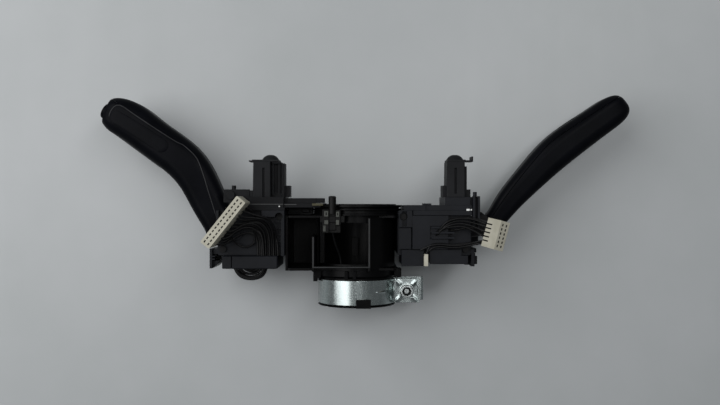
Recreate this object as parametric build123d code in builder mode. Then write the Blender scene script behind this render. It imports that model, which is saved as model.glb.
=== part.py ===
"""Steering column combination switch: a clamped carrier, two stalk switches and their leads.

Frame: origin in the middle of the column clamp bore, +Y along the column towards the
steering wheel, +X to the wiper side, +Z out of the wiring side. Millimetres.
"""

import math
import os

from build123d import *

# Column clamp
COLUMN_R = 20.0
COLLAR_R = 23.0
BAND_GAP = 0.05
BAND_THICK = 1.2
BAND_HALF = 7.5
COLLAR_REAR = -9.0
COLLAR_SEAT = 13.6
SCREW_X = 31.4
SCREW_R = 3.0
EAR_Z = 6.5
EAR_THICK = 1.5

# Carrier
BENCH_Z = -30.0
TOP_Z = 20.0
FRAME_REAR = 13.6
FRAME_FRONT = 47.5
WALL = 1.5
BARREL_R = 24.3
BARREL_BORE = 21.6
RING_R = 28.6
RING_BORE = 25.6
RING_FRONT = 53.9
ROTOR_R = 25.1
ROTOR_BORE = 21.0

# Switch modules: X from outer to inner edge, Y rear to front
LEFT_OUT = -86.0
LEFT_IN = -44.0
RIGHT_IN = 25.6
RIGHT_OUT = 71.0
MODULE_REAR = 22.8
MODULE_FRONT = 50.6
CASE_TOP = 14.0
COVER_THICK = 2.0
FIT = 0.25

# Stalk pivots, on both hinge axes
LEFT_PIVOT = (-70.0, 37.0)
RIGHT_PIVOT = (61.0, 38.0)
PIN_R = 2.5
PIN_CLEAR = 0.05
ARM_HALF = 5.0
LEFT_ROCKER = (14.0, 9.5)
RIGHT_ROCKER = (10.0, 7.6)
LEFT_ROCKER_REAR = 26.4
RIGHT_ROCKER_REAR = 29.4
PLUNGER_R = 2.0

# Stalk stations: centre X, Y, width in the plane, height across it
LEFT_STATIONS = [
    (-86.0, 38.0, 20.5, 17.0),
    (-91.4, 51.0, 22.0, 19.0),
    (-100.0, 68.0, 23.3, 21.5),
    (-108.6, 80.2, 24.5, 23.5),
    (-119.8, 89.6, 24.6, 24.5),
    (-137.0, 102.4, 24.6, 24.5),
    (-148.0, 109.4, 24.0, 23.5),
    (-154.0, 111.8, 21.6, 21.5),
    (-158.2, 113.4, 16.8, 17.6),
]
RIGHT_STATIONS = [
    (87.0, 43.4, 12.6, 13.6),
    (92.5, 50.2, 14.0, 15.4),
    (104.8, 65.2, 17.2, 18.8),
    (119.0, 80.2, 20.2, 21.6),
    (131.5, 91.4, 21.4, 23.6),
    (150.0, 104.8, 20.0, 23.0),
    (162.0, 113.2, 19.0, 21.4),
    (168.2, 117.4, 15.0, 17.4),
    (170.6, 119.2, 9.0, 11.0),
]
SHELL = 1.8
PARTING_GAP = 0.15

# Trim towers
TOWER_FOOT = 58.9
TOWER_TOP = 80.7
TOWER_HOLE_R = 1.6
LEFT_TOWER_X = -58.2
RIGHT_TOWER_X = 61.2
TOWER_Z = 11.0

# Leads and connectors
WIRE_R = 0.6
PLUG_TILT = 51.5

os.makedirs("parts", exist_ok=True)


def keep(name, part):
    """Label a finished piece and write it to its own file."""
    part.label = name
    export_step(part, "parts/" + name + ".step")


def column_plane(y):
    """Plane across the column at height y, local x = +X and local y = +Z."""
    return Plane((0, y, 0), x_dir=(1, 0, 0), z_dir=(0, -1, 0))


def box_sketch_plane(z):
    """Plane parallel to XY at height z."""
    return Plane.XY.offset(z)


def block(x0, x1, y0, y1, z0, z1, mode=Mode.ADD):
    """Add a box between two corners to the part being built."""
    with BuildSketch(box_sketch_plane(z0)) as outline:
        with Locations(((x0 + x1) / 2, (y0 + y1) / 2)):
            Rectangle(x1 - x0, y1 - y0)
    extrude(outline.sketch, amount=z1 - z0, mode=mode)


def rod_y(x, z, radius, y0, y1, mode=Mode.ADD):
    """Add a round bar along Y to the part being built."""
    with BuildSketch(column_plane(y1)) as outline:
        with Locations((x, z)):
            Circle(radius)
    extrude(outline.sketch, amount=y1 - y0, mode=mode)


def rod_z(x, y, radius, z0, z1, mode=Mode.ADD):
    """Add a round bar along Z to the part being built."""
    with BuildSketch(box_sketch_plane(z0)) as outline:
        with Locations((x, y)):
            Circle(radius)
    extrude(outline.sketch, amount=z1 - z0, mode=mode)


# ---------------------------------------------------------------- column clamp

COLLAR_SLOTS = 6
COLLAR_SLOT_WIDTH = 2.2

with BuildPart() as clamp_collar:
    with BuildSketch(Plane.XY) as collar_profile:
        with BuildLine():
            Polyline(
                (COLUMN_R, COLLAR_REAR),
                (COLLAR_R + 1.2, COLLAR_REAR),
                (COLLAR_R + 1.6, COLLAR_REAR + 0.5),
                (COLLAR_R + 1.0, COLLAR_REAR + 1.0),
                (COLLAR_R, COLLAR_REAR + 1.2),
                (COLLAR_R, BAND_HALF + 1.3),
                (BARREL_R, BAND_HALF + 2.4),
                (BARREL_R, COLLAR_SEAT),
                (COLUMN_R, COLLAR_SEAT),
                close=True,
            )
        make_face()
    revolve(axis=Axis.Y)
    # Axial slots split the rear edge into fingers that the band squeezes.
    with BuildSketch(column_plane(COLLAR_REAR - 1)):
        with PolarLocations(COLLAR_R, COLLAR_SLOTS, start_angle=20):
            Rectangle(8, COLLAR_SLOT_WIDTH)
    extrude(amount=-(BAND_HALF - COLLAR_REAR), mode=Mode.SUBTRACT)
    # Snap lugs either side and two ribs on the wiring side.
    block(-27.2, -24.6, 6.0, COLLAR_SEAT, -4, 9)
    block(-24.8, -22.4, BAND_HALF + 0.5, COLLAR_SEAT, -4, 9)
    block(23.6, 28.2, 8.6, COLLAR_SEAT, -4, 9)
    for rib_x in (-7.2, -2.2):
        block(rib_x, rib_x + 2.0, BAND_HALF + 1.0, COLLAR_SEAT, 21.6, 25.4)
    rod_y(0, 0, COLUMN_R, COLLAR_REAR - 2, COLLAR_SEAT + 2, mode=Mode.SUBTRACT)
    # Hook that keeps the band from sliding off the rear edge.
    block(-0.2, 8.8, COLLAR_REAR, COLLAR_REAR + 0.9, 21.0, 26.0)
    block(-0.2, 8.8, COLLAR_REAR, COLLAR_REAR + 5.4, 24.6, 26.0)
keep("clamp_collar", clamp_collar.part)

BAND_IN = COLLAR_R + BAND_GAP
BAND_OUT = BAND_IN + BAND_THICK
EAR_OUT = 39.8
LOWER_EAR_OUT = 43.4

with BuildPart() as clamp_band:
    with BuildSketch(column_plane(BAND_HALF)):
        Circle(BAND_OUT)
        # Ears run out of the split on the screw side.
        for side, ear_out in ((-1, LOWER_EAR_OUT), (1, EAR_OUT)):
            with Locations(((BAND_IN + ear_out) / 2 - 1, side * (EAR_Z + EAR_THICK / 2))):
                Rectangle(ear_out - BAND_IN + 2, EAR_THICK)
            with Locations((ear_out - 0.7, side * (EAR_Z + EAR_THICK / 2 + 1.6))):
                Rectangle(1.4, 4.7)
        Circle(BAND_IN, mode=Mode.SUBTRACT)
        with Locations((BAND_IN, 0)):
            Rectangle(10, 2 * EAR_Z, mode=Mode.SUBTRACT)
    extrude(amount=2 * BAND_HALF)
    rod_z(SCREW_X, 0, SCREW_R + 0.3, -12, 12, mode=Mode.SUBTRACT)
    # Pressed beads stiffen the ears towards the corners.
    for turn in (35, 145, 215, 325):
        with BuildSketch(box_sketch_plane(EAR_Z + EAR_THICK - 0.2)):
            with Locations(Location((SCREW_X, 0), turn)):
                with Locations((7.2, 0)):
                    SlotOverall(3.6, 1.4)
        extrude(amount=0.8)
keep("clamp_band", clamp_band.part)

HEAD_Z = EAR_Z + EAR_THICK + 0.8
with BuildPart() as clamp_screw:
    rod_z(SCREW_X, 0, SCREW_R, -17.5, HEAD_Z)
    rod_z(SCREW_X, 0, 4.6, EAR_Z + EAR_THICK, HEAD_Z)
    rod_z(SCREW_X, 0, 4.2, HEAD_Z, HEAD_Z + 5.2)
    chamfer(clamp_screw.faces().sort_by(Axis.Z)[-1].edges(), 0.5)
    with BuildSketch(box_sketch_plane(HEAD_Z + 5.2)):
        with Locations((SCREW_X, 0)):
            RegularPolygon(2.9, 6)
    extrude(amount=-3.0, mode=Mode.SUBTRACT)
keep("clamp_screw", clamp_screw.part)

with BuildPart() as clamp_nut:
    with BuildSketch(box_sketch_plane(-EAR_Z - EAR_THICK)):
        with Locations((SCREW_X, 0)):
            RegularPolygon(5.0, 6, major_radius=False)
            Circle(SCREW_R, mode=Mode.SUBTRACT)
    extrude(amount=-5.0)
    chamfer(clamp_nut.faces().sort_by(Axis.Z)[0].edges().sort_by(SortBy.LENGTH)[:6], 0.6)
keep("clamp_nut", clamp_nut.part)

# ---------------------------------------------------------------- carrier

POCKET_LEFT = -27.0
POCKET_RIGHT = 7.1
WALL_TOP = 26.0
CARRIER_LEFT = LEFT_IN + FIT
CARRIER_RIGHT = RIGHT_IN - FIT
FLOOR_Z = -26.0

with BuildPart() as carrier_frame:
    # Rear and front cross plates with the column passage through them.
    for y in (FRAME_REAR + WALL, FRAME_FRONT):
        with BuildSketch(column_plane(y)):
            with Locations(((CARRIER_LEFT + CARRIER_RIGHT) / 2, (FLOOR_Z + TOP_Z) / 2)):
                RectangleRounded(CARRIER_RIGHT - CARRIER_LEFT, TOP_Z - FLOOR_Z, 3)
        extrude(amount=WALL)
    # Barrel round the column, and the floor and side walls of the open tray.
    rod_y(0, 0, BARREL_R, FRAME_REAR, FRAME_FRONT)
    block(CARRIER_LEFT, CARRIER_RIGHT, FRAME_REAR, FRAME_FRONT, FLOOR_Z, FLOOR_Z + 2)
    block(CARRIER_LEFT, CARRIER_LEFT + WALL, FRAME_REAR, FRAME_FRONT, FLOOR_Z, TOP_Z)
    block(POCKET_LEFT, POCKET_LEFT + WALL, FRAME_REAR, 34.8, -8, WALL_TOP)
    block(POCKET_RIGHT, POCKET_RIGHT + WALL, FRAME_REAR, FRAME_FRONT - WALL, 10, WALL_TOP)
    # Under-floor ribs.
    for x in (-34, -12, 12):
        block(x, x + WALL, FRAME_REAR, FRAME_FRONT, FLOOR_Z - 2.5, FLOOR_Z)
    rod_y(0, 0, BARREL_BORE, FRAME_REAR - 1, FRAME_FRONT + 1, mode=Mode.SUBTRACT)
    # The wiring side of the barrel is open between the two upright walls.
    block(
        POCKET_LEFT + WALL, POCKET_RIGHT, FRAME_REAR + 4, 43.0, 8.0, 40, mode=Mode.SUBTRACT
    )
    # A key rib runs along inside the barrel window.
    block(-3.2, 1.0, 20.0, 32.0, -BARREL_BORE - 1.2, -BARREL_BORE + 2.4)
    # Screw holes for both modules through the front plate.
    for x in (-38.0, 22.2):
        for z in (-21.5, 15.5):
            rod_y(x, z, 1.35, FRAME_FRONT - 6, FRAME_FRONT + 1, mode=Mode.SUBTRACT)
keep("carrier_frame", carrier_frame.part)

with BuildPart() as front_ring:
    with BuildSketch(Plane.XY):
        with BuildLine():
            Polyline(
                (RING_BORE, FRAME_FRONT),
                (RING_R, FRAME_FRONT),
                (RING_R, FRAME_FRONT + 0.9),
                (RING_R - 1.6, FRAME_FRONT + 1.2),
                (RING_R - 1.6, FRAME_FRONT + 2.9),
                (RING_R, FRAME_FRONT + 3.2),
                (RING_R, FRAME_FRONT + 4.0),
                (RING_R - 1.6, FRAME_FRONT + 4.3),
                (RING_R - 1.6, RING_FRONT - 1.6),
                (RING_R, RING_FRONT - 1.2),
                (RING_R, RING_FRONT),
                (RING_BORE, RING_FRONT),
                close=True,
            )
        make_face()
    revolve(axis=Axis.Y)
    # Two notches clear the cancel levers of the switches.
    for side in (-1, 1):
        block(
            min(side * 24, side * 30), max(side * 24, side * 30),
            FRAME_FRONT + 2.2, FRAME_FRONT + 4.8, -3.2, 3.2, mode=Mode.SUBTRACT,
        )
keep("front_ring", front_ring.part)

with BuildPart() as cancel_ring:
    with BuildSketch(Plane.XY):
        with BuildLine():
            Polyline(
                (ROTOR_BORE, FRAME_FRONT + 0.6),
                (ROTOR_R, FRAME_FRONT + 0.6),
                (ROTOR_R, FRAME_FRONT + 1.8),
                (ROTOR_R - 1.5, FRAME_FRONT + 2.0),
                (ROTOR_R - 1.5, FRAME_FRONT + 5.0),
                (ROTOR_R, FRAME_FRONT + 5.2),
                (ROTOR_R, RING_FRONT + 0.6),
                (ROTOR_BORE, RING_FRONT + 0.6),
                close=True,
            )
        make_face()
    revolve(axis=Axis.Y)
    # Two cancel cams fill the groove over a short arc each.
    for side in (-1, 1):
        with BuildSketch(column_plane(FRAME_FRONT + 4.6)):
            with Locations((0, side * (ROTOR_R - 1.2))):
                RectangleRounded(9.0, 2.2, 0.8)
        extrude(amount=2.2)
    # Drive slots for the steering wheel hub.
    with BuildSketch(column_plane(RING_FRONT + 0.7)):
        with PolarLocations(ROTOR_BORE, 4):
            Rectangle(3.2, 5.0)
    extrude(amount=2.4, mode=Mode.SUBTRACT)
keep("cancel_ring", cancel_ring.part)

# ---------------------------------------------------------------- switch modules

MOUTH_HALF_Z = 12.6
CAVITY_TOP = 12.4
CAVITY_FLOOR = -20.0
BOSS_R = 2.4
SCREW_HOLE_R = 1.1
SCREW_HEAD_R = 2.1


def lid_screws(x_out, x_in):
    """The two lid screws of a module sit in opposite corners of its tub."""
    side = -1 if x_out < x_in else 1
    return [
        (x_out - side * 3.4, MODULE_REAR + 3.8),
        (x_in + side * 3.4, MODULE_FRONT - 3.8),
    ]


def module_case(x_out, x_in, pivot, mouth_depth, mouth_y0, mouth_y1):
    """Tub of a switch module: open top, a mouth for the stalk and bearings along Y."""
    side = -1 if x_out < x_in else 1
    low, high = min(x_out, x_in), max(x_out, x_in)
    with BuildPart() as case:
        block(low, high, MODULE_REAR, MODULE_FRONT, BENCH_Z, CASE_TOP)
        fillet(case.edges().filter_by(Axis.Z), 1.2)
        block(
            low + 2, high - 2, MODULE_REAR + 3.2, MODULE_FRONT - 3.2, CAVITY_FLOOR, CASE_TOP + 1,
            mode=Mode.SUBTRACT,
        )
        # Corner bosses for the lid screws.
        for x, y in lid_screws(x_out, x_in):
            rod_z(x, y, BOSS_R, CAVITY_FLOOR, CAVITY_TOP)
            rod_z(x, y, SCREW_HOLE_R, 4.0, CASE_TOP + 1, mode=Mode.SUBTRACT)
        # Room for the column ring, and the mouth for the stalk root.
        rod_y(0, 0, RING_R + 0.4, FRAME_FRONT - 0.3, MODULE_FRONT + 1, mode=Mode.SUBTRACT)
        mouth_in = x_out - side * mouth_depth
        block(
            min(mouth_in, x_out + side), max(mouth_in, x_out + side), mouth_y0, mouth_y1,
            -MOUTH_HALF_Z, CASE_TOP + 1, mode=Mode.SUBTRACT,
        )
        # Bearings of the rocker, through the rear and front walls.
        rod_y(
            pivot[0], 0, PIN_R + PIN_CLEAR, MODULE_REAR - 1, MODULE_FRONT + 1,
            mode=Mode.SUBTRACT,
        )
        # Weight-saving bays in the thick underside, with ribs left between.
        bay = (high - low - 10) / 3
        for index in range(3):
            start = low + 4 + index * (bay + 1)
            block(
                start, start + bay, MODULE_REAR + 3, MODULE_FRONT - 3,
                BENCH_Z - 1, CAVITY_FLOOR - 2, mode=Mode.SUBTRACT,
            )
    return case.part


def module_rocker(pivot, side, reach, half, rear):
    """Fork that turns about Y in the case and carries the stalk arm on a Z pin."""
    front = MODULE_FRONT - 3.2 - 0.4
    x0 = pivot[0] - side * reach
    x1 = pivot[0] + side * 4.0
    with BuildPart() as rocker:
        block(min(x0, x1), max(x0, x1), rear, front, -half, half)
        # Slot for the arm, open towards the mouth, with a web at the inner end.
        slot0 = pivot[0] - side * (reach - 4.5)
        slot1 = pivot[0] + side * 5.0
        block(
            min(slot0, slot1), max(slot0, slot1), rear - 1, front + 1,
            -ARM_HALF - 0.3, ARM_HALF + 0.3, mode=Mode.SUBTRACT,
        )
        rod_z(pivot[0], pivot[1], PIN_R + PIN_CLEAR, -12, 12, mode=Mode.SUBTRACT)
        # Bosses carry the fork's plates to the trunnions at both ends.
        for y0, y1 in ((rear, rear + 2.2), (front - 2.2, front)):
            block(pivot[0] - 4.0, pivot[0] + 4.0, y0, y1, -half, half)
        rod_y(pivot[0], 0, PIN_R, MODULE_REAR + 0.3, rear + 1)
        rod_y(pivot[0], 0, PIN_R, front - 1, MODULE_FRONT - 0.3)
        # Bore for the sprung detent plunger in the inner web.
        mouth = Plane((x0, pivot[1], 0), x_dir=(0, 1, 0), z_dir=(-side, 0, 0))
        with BuildSketch(mouth) as bore:
            Circle(PLUNGER_R + PIN_CLEAR)
        extrude(bore.sketch, amount=-4.0, mode=Mode.SUBTRACT)
    return rocker.part


def module_cover(x_out, x_in):
    """Lid over the tub, with a raised panel and two screw bosses."""
    low, high = min(x_out, x_in), max(x_out, x_in)
    with BuildPart() as cover:
        block(low, high, MODULE_REAR, MODULE_FRONT, CASE_TOP, CASE_TOP + COVER_THICK)
        fillet(cover.edges().filter_by(Axis.Z), 1.2)
        block(
            low + 2.3, high - 2.3, MODULE_REAR + 3.5, MODULE_FRONT - 3.5, CAVITY_TOP, CASE_TOP
        )
        for x, y in lid_screws(x_out, x_in):
            rod_z(x, y, SCREW_HOLE_R + 0.2, CAVITY_TOP - 1, CASE_TOP + 5, mode=Mode.SUBTRACT)
    return cover


# Left module: turn signal and headlamp flash.
left_case = module_case(LEFT_OUT, LEFT_IN, LEFT_PIVOT, 11.0, 27.5, 52.0)
keep("left_case", left_case)

with BuildPart() as left_cover:
    add(module_cover(LEFT_OUT, LEFT_IN).part)
    # Wire tray: guide fence, ledge and round post that the harness bends over.
    block(LEFT_IN - 2.0, LEFT_IN, MODULE_REAR, MODULE_FRONT, 16, 23.5)
    block(-58.0, LEFT_IN - 2.0, 46.6, MODULE_FRONT, 16, 22.5)
    block(LEFT_OUT, LEFT_OUT + 1.6, 33.0, MODULE_FRONT, 16, 21.5)
    rod_z(-75.0, 37.0, 5.0, 16, 17.2)
    rod_z(-75.0, 37.0, 3.4, 17.2, 19.2)
    for y in (31.0, 35.0, 39.0, 43.0):
        block(-50.5, LEFT_IN - 2.0, y, y + 1.0, 16, 17.4)
    for x, y in lid_screws(LEFT_OUT, LEFT_IN):
        rod_z(x, y, SCREW_HEAD_R + 0.3, CASE_TOP + COVER_THICK, 30, mode=Mode.SUBTRACT)
keep("left_cover", left_cover.part)

with BuildPart() as left_lower_block:
    block(-82.4, -48.4, 14.8, MODULE_REAR, -16.0, 21.5)
    fillet(left_lower_block.edges().filter_by(Axis.Z), 0.8)
    chamfer(left_lower_block.faces().sort_by(Axis.Z)[-1].edges(), 0.5)
    # Split line of the snap-in shield, and the plug chamber underneath.
    block(-76.8, -76.3, 14.0, 23.0, 2.0, 22.0, mode=Mode.SUBTRACT)
    block(-73.0, -52.0, 16.6, 21.2, -17.0, 9.0, mode=Mode.SUBTRACT)
    for x in (-70.0, -62.0, -54.0):
        block(x, x + 1.2, 14.3, 14.8, -14.0, 14.0)
keep("left_lower_block", left_lower_block.part)

with BuildPart() as left_latch:
    # Springy hook beside the case, joined to its side wall at the foot.
    block(-91.2, -89.6, 14.6, 26.8, -10.0, 15.0)
    block(-89.6, LEFT_OUT, 23.4, 26.8, -10.0, 13.0)
    with BuildSketch(box_sketch_plane(-10.0)) as barb:
        with BuildLine() as barb_edge:
            Polyline((-89.6, 14.6), (-86.4, 17.4), (-86.4, 19.2), (-89.6, 19.2), close=True)
        make_face(barb_edge.line.edges())
    extrude(barb.sketch, amount=22.0)
    for y in (19.8, 21.6):
        block(-89.6, -88.0, y, y + 0.9, 6.0, 15.0)
keep("left_latch", left_latch.part)

with BuildPart() as left_front_plate:
    # Face towards the wheel, a stack of stepped plates.
    block(-74.0, LEFT_IN, MODULE_FRONT, MODULE_FRONT + 1.8, -26.0, 21.0)
    block(-74.0, -44.8, MODULE_FRONT + 1.8, TOWER_FOOT, -16.0, 20.5)
    block(-44.8, -20.2, MODULE_FRONT + 1.8, 55.0, -22.0, 19.0)
    block(-44.8, -22.5, 55.0, 58.2, -6.0, 15.0)
    # Flange over the stalk root, with a locating post and pin.
    block(-82.0, -66.0, 55.5, 63.6, 15.2, 18.0)
    rod_z(-77.4, 60.0, 2.6, 18.0, 20.0)
    rod_y(-75.8, 16.6, 1.3, 63.6, 66.0)
    # Clear the column ring.
    rod_y(0, 0, RING_R + 0.4, 50, 60, mode=Mode.SUBTRACT)
keep("left_front_plate", left_front_plate.part)

with BuildPart() as left_rocker:
    add(module_rocker(LEFT_PIVOT, -1, *LEFT_ROCKER, LEFT_ROCKER_REAR))
keep("left_rocker", left_rocker.part)

# Right module: wipers and washer.
right_case = module_case(RIGHT_OUT, RIGHT_IN, RIGHT_PIVOT, 3.0, 27.5, 49.4)
keep("right_case", right_case)

with BuildPart() as right_cover:
    add(module_cover(RIGHT_OUT, RIGHT_IN).part)
    # Raised face with a long slot and a key groove.
    block(34.4, 56.4, 26.8, 47.4, 16, 21.2)
    block(26.2, 34.4, 40.2, MODULE_FRONT, 16, 20.2)
    block(28.2, 31.0, 40.8, MODULE_FRONT - 0.6, 17.6, 21, mode=Mode.SUBTRACT)
    block(26.2, 33.8, 26.8, 39.8, 16, 19.2)
    block(35.0, RIGHT_OUT, 47.6, MODULE_FRONT, 16, 20.2)
    # Comb of three fins that parts the leads.
    for y in (33.2, 36.4, 39.6):
        block(46.0, 60.0, y, y + 1.2, 16, 22.4)
    block(45.2, 57.0, 33.0, 41.0, 20.4, 22, mode=Mode.SUBTRACT)
    for x, y in lid_screws(RIGHT_OUT, RIGHT_IN):
        rod_z(x, y, SCREW_HEAD_R + 0.3, CASE_TOP + COVER_THICK, 30, mode=Mode.SUBTRACT)
keep("right_cover", right_cover.part)

with BuildPart() as right_plug_block:
    block(27.8, 41.4, 16.4, MODULE_REAR, -12.0, 19.5)
    block(27.8, 41.4, MODULE_REAR, 26.4, 16.05, 19.5)
    fillet(right_plug_block.edges().filter_by(Axis.Z).sort_by(Axis.Y)[:2], 0.8)
    block(36.0, 42.0, 18.0, 22.0, -8.0, 14.0, mode=Mode.SUBTRACT)
keep("right_plug_block", right_plug_block.part)

INSERT_FRONT = 23.9
with BuildPart() as right_terminal_insert:
    block(41.4, 43.8, 16.6, MODULE_REAR, -8.0, 22.8)
    block(41.6, 43.8, MODULE_REAR, INSERT_FRONT, 16.05, 22.8)
    for z in (4.0, 8.0, 12.0, 16.0):
        block(42.6, 44.0, 16.0, 23.0, z, z + 1.2, mode=Mode.SUBTRACT)
keep("right_terminal_insert", right_terminal_insert.part)

with BuildPart() as right_lower_block:
    block(45.0, 68.6, 17.6, MODULE_REAR, -18.0, 20.0)
    block(45.0, 64.6, MODULE_REAR, 26.6, 16.05, 20.0)
    fillet(right_lower_block.edges().filter_by(Axis.Z).sort_by(Axis.Y)[:2], 1.0)
    block(47.5, 66.0, 19.0, 21.6, -19.0, 10.0, mode=Mode.SUBTRACT)
    for x in (50.0, 56.0, 62.0):
        block(x, x + 1.2, 17.1, 17.6, -15.0, 14.0)
keep("right_lower_block", right_lower_block.part)

with BuildPart() as right_front_plate:
    block(RING_R + 0.6, RIGHT_OUT, MODULE_FRONT, 53.8, -24.0, 20.2)
    block(54.6, 70.0, 53.8, TOWER_FOOT, -16.0, 19.5)
    rod_y(73.0, 18.5, 1.2, TOWER_FOOT, 62.0)
    block(41.0, 46.0, 53.8, 54.9, 12.0, 20.0)
    block(42.6, 44.4, 49.9, 54.0, 19.6, 22.0, mode=Mode.SUBTRACT)
    # Two thin fins stand on a shelf that reaches past the stalk mouth.
    block(68.0, 76.0, MODULE_FRONT, TOWER_FOOT, 16.4, 17.8)
    for x in (71.4, 74.4):
        block(x, x + 1.4, 38.5, 59.4, 17.8, 21.4)
    block(71.4, 75.8, 38.5, 52.0, 16.4, 17.8)
keep("right_front_plate", right_front_plate.part)

with BuildPart() as right_latch:
    # Lower corner hooks.
    block(71.0, 73.0, 16.0, 27.0, -12.0, 17.0)
    block(68.6, 75.4, 24.0, 26.6, -12.0, 8.0)
    block(73.0, 75.4, 17.0, 22.0, 6.0, 12.0)
    block(73.0, 74.2, 22.0, 24.0, 6.0, 12.0)
    block(68.6, 71.0, 16.0, MODULE_REAR, -2.0, 4.0)
    split(bisect_by=Plane.XZ.offset(-26.8), keep=Keep.TOP)
    block(60.0, RIGHT_OUT, MODULE_REAR, 30.0, -20.0, 30.0, mode=Mode.SUBTRACT)
keep("right_latch", right_latch.part)

with BuildPart() as right_rocker:
    add(module_rocker(RIGHT_PIVOT, 1, *RIGHT_ROCKER, RIGHT_ROCKER_REAR))
keep("right_rocker", right_rocker.part)

# ---------------------------------------------------------------- switch internals

TRACK_GAP = 0.25
BOARD_THICK = 1.4
SPRING_WIRE = 0.35
SPRING_R = 1.4


def pivot_pin(pivot, half):
    """Steel pin that the stalk arm turns on."""
    with BuildPart() as pin:
        rod_z(pivot[0], pivot[1], PIN_R, -half, half)
        chamfer(pin.edges().filter_by(GeomType.CIRCLE), 0.4)
    return pin.part


def detent_plunger(pivot, side, reach):
    """Round-nosed plunger that slides along X in the rocker's web."""
    nose = pivot[0] - side * (reach + 3.2)
    place = Plane((nose, pivot[1], 0), x_dir=(0, 1, 0), z_dir=(side, 0, 0))
    with BuildPart() as plunger:
        with BuildSketch(place) as stem:
            Circle(PLUNGER_R)
        extrude(stem.sketch, amount=3.6)
        with BuildSketch(place) as tip:
            Circle(PLUNGER_R - 0.1)
        extrude(tip.sketch, amount=-1.2, taper=35)
    return plunger.part


def detent_spring(pivot, side, reach):
    """Coil spring between the plunger and the bottom of its bore."""
    start = pivot[0] - side * (reach - 0.9)
    with BuildPart() as spring:
        with BuildLine() as coil:
            Helix(0.85, 2.4, SPRING_R, center=(start, pivot[1], 0), direction=(side, 0, 0))
        line = coil.line
        with BuildSketch(Plane(origin=line @ 0, z_dir=line % 0)) as section:
            Circle(SPRING_WIRE)
        sweep(section.sketch, path=line, is_frenet=True)
    return spring.part


def detent_track(pivot, side, reach, notches):
    """Curved track fixed in the case, notched at each detent of the rocker."""
    radius = reach + 4.4 + TRACK_GAP
    inner = pivot[0] - side * (radius - 3.2)
    outer = pivot[0] - side * (radius + 3.4)
    with BuildPart() as track:
        block(
            min(inner, outer), max(inner, outer), pivot[1] - 6, pivot[1] + 6,
            CAVITY_FLOOR + BOARD_THICK + 0.3, CAVITY_TOP,
        )
        rod_y(pivot[0], 0, radius, pivot[1] - 7, pivot[1] + 7, mode=Mode.SUBTRACT)
        for angle in notches:
            turn = math.radians(angle)
            rod_y(
                pivot[0] - side * (radius + 0.3) * math.cos(turn),
                side * (radius + 0.3) * math.sin(turn),
                0.8, pivot[1] - 7, pivot[1] + 7, mode=Mode.SUBTRACT,
            )
    return track.part


def contact_board(x_out, x_in):
    """Contact board on the floor of the tub, with its row of tracks standing proud."""
    x0 = min(x_out, x_in) + 2.4
    x1 = max(x_out, x_in) - 2.4
    top = CAVITY_FLOOR + BOARD_THICK
    with BuildPart() as board:
        block(x0, x1, MODULE_REAR + 3.6, MODULE_FRONT - 3.6, CAVITY_FLOOR, top)
        for index in range(5):
            y = MODULE_REAR + 6.0 + index * 3.8
            block(x0 + 3, x1 - 14, y, y + 1.8, top, top + 0.3)
        for x, y in lid_screws(x_out, x_in):
            rod_z(x, y, BOSS_R + 0.3, CAVITY_FLOOR - 1, CAVITY_FLOOR + 4, mode=Mode.SUBTRACT)
    return board.part


LEFT_NOTCHES = (-8, 0, 8)
RIGHT_NOTCHES = (-23, -15.3, -7.7, 0, 8)

keep("left_pivot_pin", pivot_pin(LEFT_PIVOT, LEFT_ROCKER[1]))
keep("left_detent_plunger", detent_plunger(LEFT_PIVOT, -1, LEFT_ROCKER[0]))
keep("left_detent_spring", detent_spring(LEFT_PIVOT, -1, LEFT_ROCKER[0]))
keep("left_detent_track", detent_track(LEFT_PIVOT, -1, LEFT_ROCKER[0], LEFT_NOTCHES))
keep("left_contact_board", contact_board(LEFT_OUT, LEFT_IN))
keep("right_pivot_pin", pivot_pin(RIGHT_PIVOT, RIGHT_ROCKER[1]))
keep("right_detent_plunger", detent_plunger(RIGHT_PIVOT, 1, RIGHT_ROCKER[0]))
keep("right_detent_spring", detent_spring(RIGHT_PIVOT, 1, RIGHT_ROCKER[0]))
keep("right_detent_track", detent_track(RIGHT_PIVOT, 1, RIGHT_ROCKER[0], RIGHT_NOTCHES))
keep("right_contact_board", contact_board(RIGHT_OUT, RIGHT_IN))

# ---------------------------------------------------------------- stalks

ROOT_CLEAR_R = 11.6

# Parting line between the driver's side shell and the rear shell, in plan
LEFT_PARTING = [
    (-84.0, 30.0), (-87.0, 42.0), (-89.9, 52.6), (-92.9, 62.5), (-96.2, 73.5), (-100.4, 83.5),
    (-108.0, 91.0), (-113.0, 93.6), (-124.6, 101.0), (-137.2, 109.4), (-148.0, 116.6),
    (-156.0, 122.0),
]
RIGHT_PARTING = [
    (76.0, 32.0), (84.0, 44.0), (90.0, 53.2), (101.0, 68.6), (112.4, 82.8), (122.6, 93.8),
    (132.0, 100.6), (146.6, 110.2), (158.0, 117.4), (170.0, 124.4),
]


def stalk_body(stations, shrink):
    """Loft of rounded sections along a stalk; shrink insets all but the root's end."""
    count = len(stations)
    with BuildPart() as body:
        for index, (x, y, width, height) in enumerate(stations):
            before = stations[max(index - 1, 0)]
            after = stations[min(index + 1, count - 1)]
            heading = Vector(after[0] - before[0], after[1] - before[1], 0).normalized()
            across = Vector(0, 0, 1)
            centre = Vector(x, y, 0)
            if index == count - 1:
                centre = centre - heading * shrink
            plane = Plane(centre, x_dir=heading.cross(across), z_dir=heading)
            wide = width - 2 * shrink
            tall = height - 2 * shrink
            with BuildSketch(plane) as section:
                RectangleRounded(wide, tall, min(wide, tall) * 0.34)
            add(section.sketch)
        loft()
    return body.part


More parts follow.
